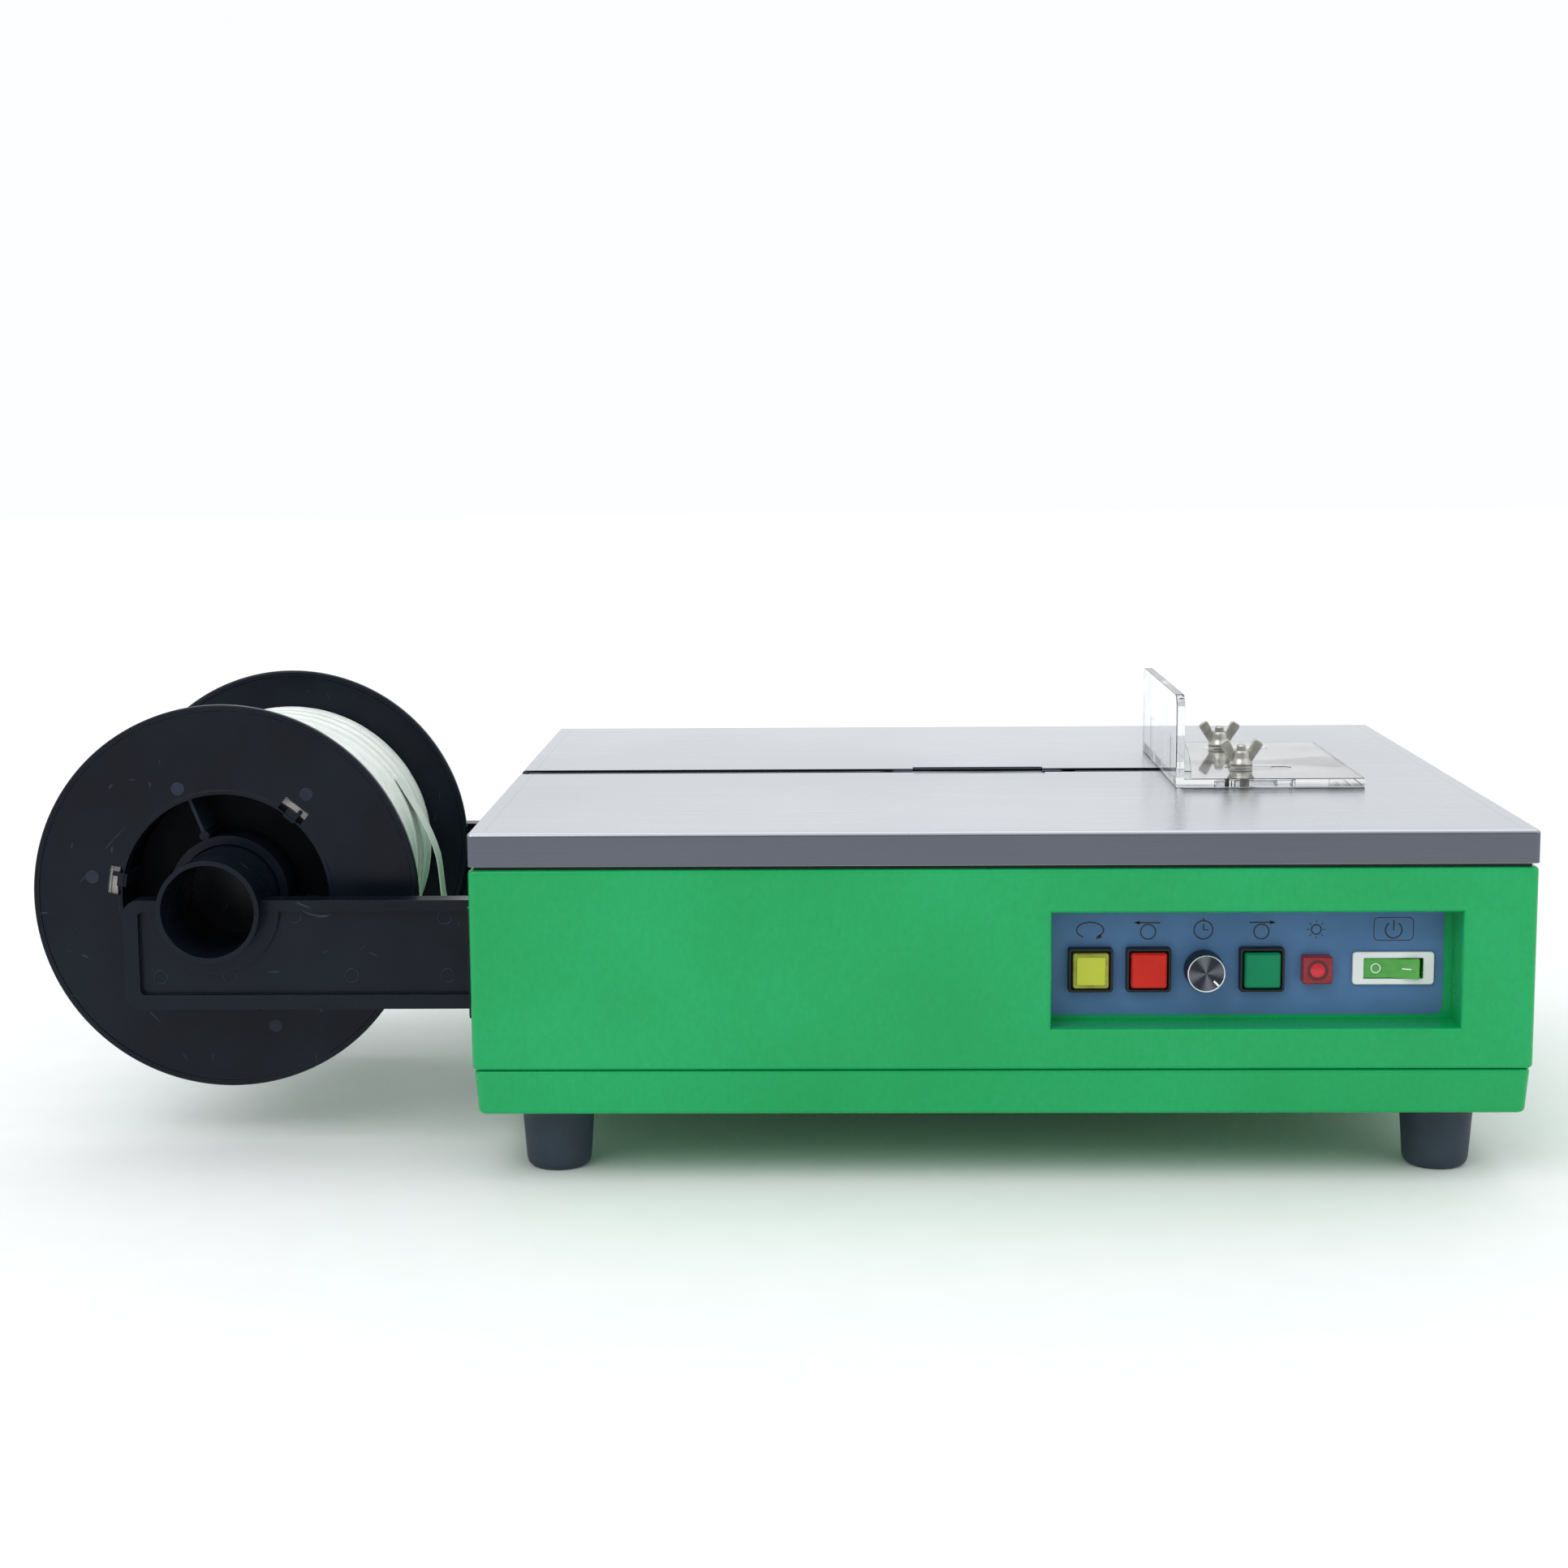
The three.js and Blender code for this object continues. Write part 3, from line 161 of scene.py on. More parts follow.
class Look:
    """A procedural material. Pattern sizes are in millimetres."""

    def __init__(self, name, **sockets):
        self.material = bpy.data.materials.new(name)
        self.material.use_nodes = True
        tree = self.material.node_tree
        self.nodes, self.link = tree.nodes, tree.links.new
        self.shader = tree.nodes["Principled BSDF"]
        for socket, value in sockets.items():
            self.shader.inputs[socket.replace("_", " ")].default_value = value
        self.place = self.nodes.new("ShaderNodeTexCoord").outputs["Object"]
        self.normal = None

    def pattern(self, size, stretch=(1, 1, 1), detail=3):
        mapping = self.nodes.new("ShaderNodeMapping")
        mapping.inputs["Scale"].default_value = [s * 1000 / size for s in stretch]
        noise = self.nodes.new("ShaderNodeTexNoise")
        noise.inputs["Scale"].default_value = 1
        noise.inputs["Detail"].default_value = detail
        self.link(self.place, mapping.inputs["Vector"])
        self.link(mapping.outputs["Vector"], noise.inputs["Vector"])
        return noise.outputs["Fac"]

    def remap(self, value, from_low, from_high, low, high):
        node = self.nodes.new("ShaderNodeMapRange")
        for socket, number in zip(RANGE_SOCKETS, (from_low, from_high, low, high)):
            node.inputs[socket].default_value = number
        self.link(value, node.inputs["Value"])
        return node.outputs["Result"]

    def math(self, operation, a, b=0.0):
        node = self.nodes.new("ShaderNodeMath")
        node.operation = operation
        for socket, value in zip(node.inputs, (a, b)):
            if isinstance(value, (int, float)):
                socket.default_value = value
            else:
                self.link(value, socket)
        return node.outputs["Value"]

    def axis(self, letter):
        node = self.nodes.new("ShaderNodeSeparateXYZ")
        self.link(self.place, node.inputs["Vector"])
        return node.outputs[letter]

    def colour(self, factor, a, b):
        node = self.nodes.new("ShaderNodeMix")
        node.data_type = "RGBA"
        for socket, value in ((node.inputs[6], a), (node.inputs[7], b)):
            if isinstance(value, tuple):
                socket.default_value = value
            else:
                self.link(value, socket)
        self.link(factor, node.inputs[0])
        self.link(node.outputs[2], self.shader.inputs["Base Color"])
        return node.outputs[2]

    def roughness(self, value):
        self.link(value, self.shader.inputs["Roughness"])

    def bump(self, height, depth, strength=1.0):
        """Raises the surface by the height pattern, depth in millimetres."""
        node = self.nodes.new("ShaderNodeBump")
        node.inputs["Distance"].default_value = depth * MM
        node.inputs["Strength"].default_value = strength
        self.link(height, node.inputs["Height"])
        if self.normal:
            self.link(self.normal, node.inputs["Normal"])
        self.normal = node.outputs["Normal"]
        self.link(self.normal, self.shader.inputs["Normal"])
        return self

    def scratches(self, size, width):
        """Thin, nearly straight lines, 1 on a line and 0 away from it, broken into short lengths."""
        line = self.math("ABSOLUTE", self.math("SUBTRACT", self.pattern(size, detail=0), 0.5))
        line = self.remap(line, 0, width, 1, 0)
        broken = self.remap(self.pattern(size * 0.16, detail=1), 0.62, 0.7, 0, 1)
        return self.math("MULTIPLY", line, broken)


def moulded(name, light, dark, rough, grain=0.5, depth=0.01, gloss=0.5):
    """Plastic, rubber or card: cloudy colour, uneven gloss and a fine surface grain."""
    look = Look(name, Specular_IOR_Level=gloss)
    look.colour(look.remap(look.pattern(35), 0.35, 0.65, 0, 1), light, dark)
    look.roughness(look.remap(look.pattern(14, detail=5), 0.3, 0.7, rough - 0.05, rough + 0.07))
    return look.bump(look.pattern(grain, detail=2), depth, 0.5).material


def metal(name, light, dark, rough, grain, depth, stretch=(1, 1, 1)):
    """Bare metal with tool or cast grain, uneven gloss and a few scratches."""
    look = Look(name, Metallic=1.0)
    streak = look.pattern(grain, stretch, detail=4)
    marks = look.scratches(30, 0.006)
    look.colour(look.remap(streak, 0.35, 0.65, 0, 1), light, dark)
    shine = look.remap(look.pattern(22, detail=4), 0.3, 0.7, rough - 0.06, rough + 0.08)
    look.roughness(look.math("ADD", shine, look.math("MULTIPLY", marks, 0.15)))
    return look.bump(streak, depth, 0.5).material


def green_paint():
    look = Look("green_paint", Coat_Weight=0.45, Coat_Roughness=0.05, Specular_IOR_Level=0.12)
    cloud = look.remap(look.pattern(120, detail=2), 0.35, 0.65, 0, 1)
    base = look.colour(cloud, srgb(16, 169, 96), srgb(6, 159, 86))
    specks = look.remap(look.pattern(2.2, (1, 1, 0.6), detail=5), 0.3, 0.75, 0, 0.4)
    look.colour(specks, base, srgb(4, 146, 76))
    look.roughness(look.remap(look.pattern(18, detail=4), 0.3, 0.7, 0.24, 0.38))
    look.bump(look.pattern(3.2, detail=1), 0.05, 0.35)
    return look.bump(look.pattern(0.5, detail=2), 0.008, 0.3).material


def stainless():
    """Sheet brushed along X, with a faint line where the sheet was bent round its edge, and its upright faces
    painted darker as a painted reflection.
    """
    look = Look("brushed_stainless", Metallic=1.0, Anisotropic=0.45)
    streak = look.pattern(0.5, (0.006, 1, 1), detail=3)
    patch = look.pattern(160, (1, 0.5, 1), detail=3)
    base = look.colour(look.remap(streak, 0.3, 0.7, 0, 1), srgb(206, 209, 214), srgb(196, 199, 205))
    half_x, half_y = table_box[1].x - MIDDLE_X - 0.009, table_box[1].y - 0.009
    from_middle = look.math("ABSOLUTE", look.math("SUBTRACT", look.axis("X"), MIDDLE_X))
    off_x = look.math("SUBTRACT", from_middle, half_x)
    off_y = look.math("SUBTRACT", look.math("ABSOLUTE", look.axis("Y")), half_y)
    line = look.remap(look.math("ABSOLUTE", look.math("MAXIMUM", off_x, off_y)), 0, 0.0004, 1, 0)
    base = look.colour(look.math("MULTIPLY", line, 0.35), base, srgb(120, 120, 128))
    # painted reflection: faces that stand upright are painted a darker grey for the darker room they would
    # mirror
    facing = look.nodes.new("ShaderNodeSeparateXYZ")
    look.link(look.nodes.new("ShaderNodeNewGeometry").outputs["Normal"], facing.inputs[0])
    upright_painted_reflection = look.remap(look.math("ABSOLUTE", facing.outputs["Z"]), 0.1, 0.8, 0.95, 0)
    look.colour(upright_painted_reflection, base, srgb(92, 96, 106))
    shine = look.math("ADD", look.remap(patch, 0.3, 0.7, 0.2, 0.3), look.remap(streak, 0.3, 0.7, -0.04, 0.06))
    look.roughness(look.math("ADD", shine, look.math("MULTIPLY", look.scratches(120, 0.002), 0.12)))
    return look.bump(streak, 0.004, 0.3).material


def black_plastic():
    look = Look("black_plastic", Specular_IOR_Level=0.17)
    marks = look.scratches(90, 0.0022)
    fine = look.scratches(40, 0.003)
    base = look.colour(look.remap(look.pattern(60), 0.35, 0.65, 0, 1), srgb(12, 16, 25), srgb(18, 24, 36))
    worn = look.math("MAXIMUM", marks, look.math("MULTIPLY", fine, 0.6))
    look.colour(look.math("MULTIPLY", worn, 0.5), base, srgb(96, 102, 116))
    shine = look.remap(look.pattern(45, detail=6), 0.3, 0.7, 0.22, 0.38)
    look.roughness(look.math("ADD", shine, look.math("MULTIPLY", worn, 0.25)))
    look.bump(look.pattern(28, detail=1), 0.12, 0.25)
    return look.bump(look.pattern(0.7, detail=3), 0.012, 0.3).material


def black_edge_painted_highlight():
    """The same moulding on its rounded edges: glossier, and painted lighter as a painted highlight so that
    the edges catch the light.
    """
    look = Look("black_edge_painted_highlight", Specular_IOR_Level=0.5)
    # painted highlight: the edge colour is lighter than the moulding's own black
    look.colour(look.remap(look.pattern(9, detail=5), 0.4, 0.7, 0, 1), srgb(26, 32, 44), srgb(58, 65, 80))
    look.roughness(look.remap(look.pattern(12, detail=4), 0.3, 0.7, 0.16, 0.3))
    return look.bump(look.pattern(2, detail=3), 0.02, 0.3).material


def strap_white():
    """Polypropylene strap: fine embossed diamonds and a cool translucent white."""
    look = Look("strap_white", Subsurface_Weight=0.15, Subsurface_Scale=0.002, Specular_IOR_Level=0.45)
    look.shader.inputs["Subsurface Radius"].default_value = (1, 1, 1)
    along, across = look.axis("Z"), look.axis("Y")
    waves = []
    for sign in ("ADD", "SUBTRACT"):
        slope = look.math(sign, look.math("MULTIPLY", along, 3200), look.math("MULTIPLY", across, 2600))
        waves.append(look.math("ABSOLUTE", look.math("SINE", slope)))
    emboss = look.math("MULTIPLY", *waves)
    look.colour(look.remap(look.pattern(30), 0.3, 0.7, 0, 1), srgb(240, 244, 241), srgb(222, 232, 226))
    look.roughness(look.remap(emboss, 0, 1, 0.3, 0.5))
    return look.bump(emboss, 0.06, 0.5).material


def clear_acrylic():
    look = Look("clear_acrylic", Transmission_Weight=1.0, IOR=1.49, Specular_IOR_Level=0.5)
    look.colour(look.remap(look.pattern(60), 0.3, 0.7, 0, 1), (0.985, 0.99, 0.99, 1), (0.96, 0.975, 0.975, 1))
    worn = look.math("ADD", look.scratches(60, 0.004), look.pattern(40))
    look.roughness(look.remap(worn, 0.3, 1.2, 0.01, 0.14))
    return look.bump(look.pattern(30, detail=1), 0.01, 0.1).material


def clear_cap(name, light, dark, rough=0.12, weight=0.45):
    """Tinted see-through plastic of a lit button, lens or rocker, with moulding streaks."""
    look = Look(name, Transmission_Weight=weight, IOR=1.5)
    look.colour(look.remap(look.pattern(6, (1, 1, 2)), 0.3, 0.7, 0, 1), light, dark)
    look.roughness(look.remap(look.pattern(4, detail=4), 0.3, 0.7, rough - 0.04, rough + 0.06))
    return look.bump(look.pattern(1.5, detail=2), 0.02, 0.3).material


def knob_face():
    """Turned black face: rings too fine to see one by one make fans of light, and the fans are also painted
    into its colour by angle round the axis as a painted sheen.
    """
    look = Look("knob_face", Metallic=1.0, Anisotropic=0.85)
    tangent = look.nodes.new("ShaderNodeTangent")
    tangent.direction_type, tangent.axis = "RADIAL", "Y"
    look.link(tangent.outputs["Tangent"], look.shader.inputs["Tangent"])
    across = look.math("SUBTRACT", look.axis("X"), KNOB_X * MM + MIDDLE_X)
    angle = look.math("ARCTAN2", look.math("SUBTRACT", look.axis("Z"), ROW_Z * MM), across)
    # painted sheen: the colour turns lighter and darker in fans by angle round the knob's axis
    painted_fans = look.math("SINE", look.math("ADD", look.math("MULTIPLY", angle, 4), 0.8))
    look.colour(look.remap(painted_fans, -0.6, 1, 0, 1), srgb(52, 54, 62), srgb(104, 107, 116))
    look.roughness(look.remap(look.pattern(3), 0.3, 0.7, 0.26, 0.36))
    return look.bump(look.pattern(0.3, detail=1), 0.004, 0.3).material


GREEN = green_paint()
STAINLESS = stainless()
BLACK = black_plastic()
BLACK_EDGE_PAINTED_HIGHLIGHT = black_edge_painted_highlight()
STRAP = strap_white()
ACRYLIC = clear_acrylic()
KNOB_FACE = knob_face()
RUBBER = moulded("foot_rubber", srgb(54, 66, 80), srgb(44, 55, 67), 0.55, 0.8, 0.05, gloss=0.3)
PANEL = moulded("panel_blue", srgb(80, 121, 166), srgb(72, 111, 154), 0.42, 0.4, 0.02, gloss=0.25)
PRINT = moulded("panel_print", srgb(22, 30, 46), srgb(16, 24, 38), 0.5, 0.3, 0.01)
BEZEL = moulded("bezel_black", srgb(24, 26, 32), srgb(16, 18, 23), 0.38, 0.4, 0.02, gloss=0.35)
WHITE = moulded("switch_white", srgb(238, 240, 240), srgb(226, 229, 230), 0.36, 0.4, 0.01)
MARK_WHITE = moulded("mark_white", srgb(250, 251, 250), srgb(238, 242, 240), 0.4, 0.4, 0.01)
CARD = moulded("core_card", srgb(212, 206, 202), srgb(186, 180, 176), 0.85, 0.6, 0.08)
BLACK_MARK = moulded("black_mark", srgb(40, 48, 64), srgb(30, 37, 51), 0.4, 0.6, 0.01, gloss=0.2)
# painted shade: a darker, duller black for the recess in the reel's hub
BLACK_RECESS_PAINTED_SHADE = moulded("black_recess_painted_shade", srgb(9, 11, 18), srgb(5, 7, 12), 0.5, 0.8, 0.02, gloss=0.1)
BELT = moulded("belt_rubber", srgb(34, 34, 36), srgb(24, 24, 26), 0.7, 0.8, 0.06)
BOARD = moulded("board_green", srgb(34, 110, 62), srgb(26, 92, 52), 0.45, 0.5, 0.02)
RED_CAP = moulded("cap_red", srgb(206, 40, 26), srgb(190, 32, 20), 0.3, 0.5, 0.01, gloss=0.2)
GREEN_CAP = moulded("cap_green", srgb(2, 130, 86), srgb(0, 116, 76), 0.3, 0.5, 0.01, gloss=0.2)
YELLOW_TOP = moulded("cap_yellow_top", srgb(190, 198, 66), srgb(178, 186, 56), 0.3, 0.5, 0.01, gloss=0.2)
YELLOW_SKIRT = clear_cap("cap_yellow", srgb(206, 206, 70), srgb(176, 176, 44))
LENS = clear_cap("lens_red", srgb(196, 18, 44), srgb(158, 10, 32))
LENS_RING = clear_cap("lens_red_ring", srgb(98, 6, 20), srgb(78, 4, 16), 0.2, 0.2)
LENS_MIDDLE = clear_cap("lens_red_middle", srgb(236, 40, 58), srgb(206, 24, 42), 0.2, 0.2)
ROCKER = clear_cap("rocker_green", srgb(132, 236, 104), srgb(84, 222, 84), 0.08, 0.6)
ZINC = metal("zinc_plate", srgb(196, 194, 186), srgb(170, 168, 160), 0.32, 5, 0.04)
CHROME = metal("bright_rim", srgb(226, 228, 232), srgb(206, 208, 214), 0.16, 1, 0.003)
STEEL = metal("machined_steel", srgb(150, 154, 160), srgb(128, 132, 138), 0.34, 1, 0.01, (0.15, 1, 1))
IRON = metal("cast_iron", srgb(88, 92, 98), srgb(66, 70, 76), 0.55, 1.6, 0.12)
COPPER = metal("copper", srgb(178, 122, 80), srgb(150, 98, 62), 0.42, 1.4, 0.03, (1, 1, 0.3))


# ---------------------------------------------------------------- shapes, in millimetres
def shape(verts, faces):
    mesh = bpy.data.meshes.new("shape")
    mesh.from_pydata(verts, [], faces)
    work = bmesh.new()
    work.from_mesh(mesh)
    bmesh.ops.remove_doubles(work, verts=work.verts, dist=1e-4)
    bmesh.ops.recalc_face_normals(work, faces=work.faces)
    work.to_mesh(mesh)
    work.free()
    obj = bpy.data.objects.new("shape", mesh)
    bpy.context.scene.collection.objects.link(obj)
    return obj


def along(axis, u, v, w):
    """The point w along an axis; u and v are the other two directions, in the order x, y, z."""
    return {"x": (w, u, v), "y": (u, w, v), "z": (u, v, w)}[axis]


def polar(u, v, r, a):
    """The point at distance r and angle a, in radians, from u, v."""
    return u + r * math.cos(a), v + r * math.sin(a)


def loft(rings, closed=False):
    """Skin over rings of points; the ends are filled unless the rings close on themselves."""
    count = len(rings[0])
    faces = []
    for i in range(len(rings) - (0 if closed else 1)):
        a, b = i * count, (i + 1) % len(rings) * count
        faces += [(a + j, a + (j + 1) % count, b + (j + 1) % count, b + j) for j in range(count)]
    if not closed:
        faces += [tuple(range(count)), tuple(range((len(rings) - 1) * count, len(rings) * count))]
    return shape([p for ring in rings for p in ring], faces)


def rectangle(u0, u1, v0, v1, r=0.0, steps=6):
    if r <= 0:
        return [(u0, v0), (u1, v0), (u1, v1), (u0, v1)]
    points = []
    for k, (cu, cv) in enumerate(((u1 - r, v1 - r), (u0 + r, v1 - r), (u0 + r, v0 + r), (u1 - r, v0 + r))):
        for i in range(steps + 1):
            a = (k + i / steps) * math.pi / 2
            points.append(polar(cu, cv, r, a))
    return points


def ends(w0, w1, low, high, steps=4):
    """Pairs of inset and height that round the two ends of a block."""
    turns = [i * math.pi / 2 / steps for i in range(steps + 1)]
    bottom = [(low * (1 - math.sin(a)), w0 + low * (1 - math.cos(a))) for a in turns] if low else [(0, w0)]
    top = [(high * (1 - math.cos(a)), w1 - high * (1 - math.sin(a))) for a in turns] if high else [(0, w1)]
    return bottom + top


def block(axis, u0, u1, v0, v1, w0, w1, r=0.0, low=0.0, high=0.0):
    """Box with rounded corners of radius r about the axis and rounded rims at its two ends."""
    rings = []
    for inset, w in ends(w0, w1, low, high):
        corner = max(r - inset, 0.05) if r else 0
        ring = rectangle(u0 + inset, u1 - inset, v0 + inset, v1 - inset, corner)
        rings.append([along(axis, u, v, w) for u, v in ring])
    return loft(rings)


def turned(axis, u, v, profile, segments=72, closed=False):
    """Points of (radius, height along the axis) turned about the axis through u, v."""
    angles = [2 * math.pi * i / segments for i in range(segments)]
    return loft([[along(axis, *polar(u, v, r, a), w) for a in angles] for r, w in profile], closed)


def rod(axis, u, v, r, w0, w1, edge=0.0, segments=48):
    profile = [(r - inset, w) for inset, w in ends(w0, w1, edge, edge, 3)]
    return turned(axis, u, v, profile, segments)


def soften(points, radius, closed=False):
    """A line of points with its corners rounded."""
    steps = 3
    out = []
    for i, point in enumerate(points):
        if not closed and i in (0, len(points) - 1):
            out.append(tuple(point))
            continue
        p = Vector(point)
        before = Vector(points[i - 1]) - p
        after = Vector(points[(i + 1) % len(points)]) - p
        reach = min(radius, before.length * 0.45, after.length * 0.45)
        a, b = p + before.normalized() * reach, p + after.normalized() * reach
        for k in range(steps + 1):
            t = k / steps
            out.append(tuple(a * (1 - t) ** 2 + p * 2 * t * (1 - t) + b * t * t))
    return out


def prism(axis, outline, w0, w1, edge=0.0):
    """An outline standing from w0 to w1 along the axis, with both rims rounded."""
    obj = loft([[along(axis, u, v, w) for u, v in outline] for w in (w0, w1)])
    if edge:
        work = bmesh.new()
        work.from_mesh(obj.data)
        k = "xyz".index(axis)
        rims = {e for f in work.faces if abs(f.normal[k]) > 0.99 for e in f.edges}
        bmesh.ops.bevel(work, geom=list(rims), offset=edge, segments=3, profile=0.5, affect="EDGES",
                        clamp_overlap=True)
        work.to_mesh(obj.data)
        work.free()
    return obj


def combine(operation, body, tools):
    for tool in tools:
        modifier = body.modifiers.new("combine", "BOOLEAN")
        modifier.operation, modifier.solver, modifier.object = operation, "MANIFOLD", tool
    graph = bpy.context.evaluated_depsgraph_get()
    mesh = bpy.data.meshes.new_from_object(body.evaluated_get(graph))
    body.modifiers.clear()
    body.data = mesh
    for tool in tools:
        bpy.data.objects.remove(tool)
    return body


def cut(body, *tools):
    return combine("DIFFERENCE", body, tools)


def weld(body, *tools):
    return combine("UNION", body, tools)


def turn(obj, degrees, axis, centre):
    """Turns a shape about an axis through a point."""
    spin = Matrix.Rotation(math.radians(degrees), 4, axis.upper())
    obj.data.transform(Matrix.Translation(centre) @ spin @ Matrix.Translation(-Vector(centre)))
    return obj


def move(obj, x=0, y=0, z=0):
    obj.data.transform(Matrix.Translation((x, y, z)))
    return obj


def dress(obj, bevel, edge_look=None):
    """Rounds the sharp edges, in a material of their own if one is given, and keeps broad faces flat."""
    if bevel:
        edge = obj.modifiers.new("edges", "BEVEL")
        edge.width, edge.segments, edge.limit_method = bevel * MM, 2, "ANGLE"
        edge.angle_limit = math.radians(30)
        if edge_look:
            obj.data.materials.append(edge_look)
            edge.material = len(obj.data.materials) - 1
    normals = obj.modifiers.new("normals", "WEIGHTED_NORMAL")
    normals.keep_sharp = True
    normals.weight = 60


def piece(name, body, parts, replaces=(), bevel=0.0, edge_look=None):
    """Joins pairs of shape and material into one object that rides on a body."""
    looks = []
    whole = bmesh.new()
    for part, look in parts:
        if look not in looks:
            looks.append(look)
        for polygon in part.data.polygons:
            polygon.material_index = looks.index(look)
        whole.from_mesh(part.data)
        bpy.data.objects.remove(part)
    to_frame = Matrix.Translation((MIDDLE_X, 0, 0)) @ Matrix.Scale(MM, 4)
    bmesh.ops.transform(whole, matrix=to_frame, verts=whole.verts)
    for face in whole.faces:
        face.smooth = True
    mesh = bpy.data.meshes.new(name)
    whole.to_mesh(mesh)
    whole.free()
    for look in looks:
        mesh.materials.append(look)
    if not bevel:
        mesh.set_sharp_from_angle(angle=math.radians(32))
    obj = bpy.data.objects.new(name, mesh)
    bpy.context.scene.collection.objects.link(obj)
    dress(obj, bevel, edge_look)
    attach(obj, body)
    if replaces:
        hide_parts(*replaces)


def keep(look, bevel, *names, smooth=True):
    """CAD nodes that are shown as they are get a material and rounded edges.

    The clear stop isn't smoothed: blended normals would bend what is seen through it.
    """
    for name in names:
        obj = nodes[name]
        obj.material_slots[0].material = look
        for polygon in obj.data.polygons:
            polygon.use_smooth = smooth
        joined = obj.modifiers.new("joined", "WELD")
        joined.merge_threshold = 0.05 * MM
        flat = obj.modifiers.new("flat", "DECIMATE")
        flat.decimate_type, flat.angle_limit = "DISSOLVE", math.radians(1)
        dress(obj, bevel)


# ---------------------------------------------------------------- cabinet
def table_top():
    x, y = TABLE_HIGH.x, TABLE_HIGH.y
    low, high = TABLE_LOW.z, TABLE_HIGH.z
    top = block("z", -x, x, -y, y, low, high, r=3, high=2.5)
    arrow = [(178, -SLOT_HALF), (217, -27), (227, 0), (217, 27), (178, SLOT_HALF)]
    slot = [(-x - 1, -SLOT_HALF)] + arrow + [(-x - 1, SLOT_HALF)]
    cut(top,
        block("z", -x + 1.5, x - 1.5, -y + 1.5, y - 1.5, low + 1.5, high - 2, r=2),
        block("z", -x + 10, x - 10, -y + 10, y - 10, low - 1, low + 2),
        prism("z", [(u, v + SLOT_Y) for u, v in slot], high - 3, high + 1),
        block("z", -x - 1, -x + 4, SLOT_Y - SLOT_HALF, SLOT_Y + SLOT_HALF, 180, high + 1),
        block("z", -40, 40, SLOT_Y - 16, SLOT_Y + 16, high - 3, high + 1, r=1.5),
        *[rod("z", STUD_X, y_stud, 3.4, high - 3, high + 1) for y_stud in STUD_SIDES])
    parts = [(top, STAINLESS)]
    for side in (-1, 1):
        near = SLOT_Y + side * (SLOT_HALF + 0.1)
        far = near + side * 1.2
        for left, right in ((-278, -60), (60, 176)):
            flange = block("x", min(near, far), max(near, far), high - 11, high - 1.8, left, right, r=0.4)
            parts.append((flange, STAINLESS))
    piece("table_sheet", "cabinet", parts, ["table_top"], bevel=0.35)


def cabinet_shell():
    x, y = SHELL_HIGH.x, -SHELL_LOW.y
    low, high = SHELL_LOW.z, SHELL_HIGH.z
    left, right, sill, head = WINDOW
    shell = block("z", -x, x, -y, y, low, high, r=4, low=2.2, high=2.2)
    cut(shell,
        block("z", -x + 2, x - 2, -y + 2, y + 2, low + 2, high - 2, r=2),
        block("z", -x + 12, x - 12, -y + 12, y + 2, low - 1, high + 1),
        block("z", -x - 1, x + 1, SHELL_HIGH.y, y + 1, low - 1, high + 1))
    weld(shell, block("y", left - 1.5, right + 1.5, sill - 1.5, head + 1.5, -y + 0.8, PANEL_Y - 0.3))
    # the sheet rolls into the window over this radius
    flare = 2.4
    rings = [rectangle(left - flare, right + flare, sill - flare, head + flare)]
    places = [-y - 1]
    for i in range(6):
        a = i * math.pi / 10
        inset = flare * (1 - math.sin(a))
        rings.append(rectangle(left - inset, right + inset, sill - inset, head + inset))
        places.append(-y + flare * (1 - math.cos(a)))
    rings.append(rings[-1])
    places.append(PANEL_Y + 1)
    mouth = loft([[along("y", u, v, w) for u, v in ring] for ring, w in zip(rings, places)])
    strap_hole = block("x", SLOT_Y - SLOT_HALF, SLOT_Y + SLOT_HALF, 69, 80, -x - 1, -x + 3, r=2)
    tools = [mouth, strap_hole]
    for name in ARM_SCREWS:
        tools.append(rod("x", *middle("arm_screw_" + name, "yz"), 2.9, -x - 1, -x + 3, segments=24))
    cut(shell, *tools)
    piece("cabinet_skin", "cabinet", [(shell, GREEN)], ["cabinet_shell"], bevel=0.4)


def base_tray():
    low, high = TRAY_LOW.z, TRAY_HIGH.z
    wide, deep, lean = TRAY_HIGH.x, TRAY_HIGH.y, 1.7
    rings = []
    for inset, z in ends(low, high, 2.2, 2.2, 5):
        more = inset + lean * (high - z) / (high - low)
        ring = rectangle(-wide + more, wide - more, -deep + more, deep - more, max(5 - inset, 0.3))
        rings.append([(u, v, z) for u, v in ring])
    tray = loft(rings)
    x, y = wide - lean - 2, deep - lean - 2
    cut(tray,
        block("z", -x, x, -y, y, low + 2, high - 2, r=3),
        block("z", -x + 12, x - 12, -y + 12, y - 12, low + 3, high + 1))
    piece("tray_pan", "cabinet", [(tray, GREEN)], ["base_tray"], bevel=0.4)


def gap_shade_band():
    """Dark band in the gap between the table's lip and the cabinet, painted shade for that gap."""
    x, y = SHELL_HIGH.x - 3, -SHELL_LOW.y - 3
    low, high = SHELL_HIGH.z - 0.1, TABLE_LOW.z + 0.1
    seal = cut(block("z", -x, x, -y, y, low, high, r=3),
               block("z", -x + 7, x - 7, -y + 7, y - 7, low - 1, high + 1, r=2))
    piece("table_gap_shade", "cabinet", [(seal, BELT)], bevel=0.3)


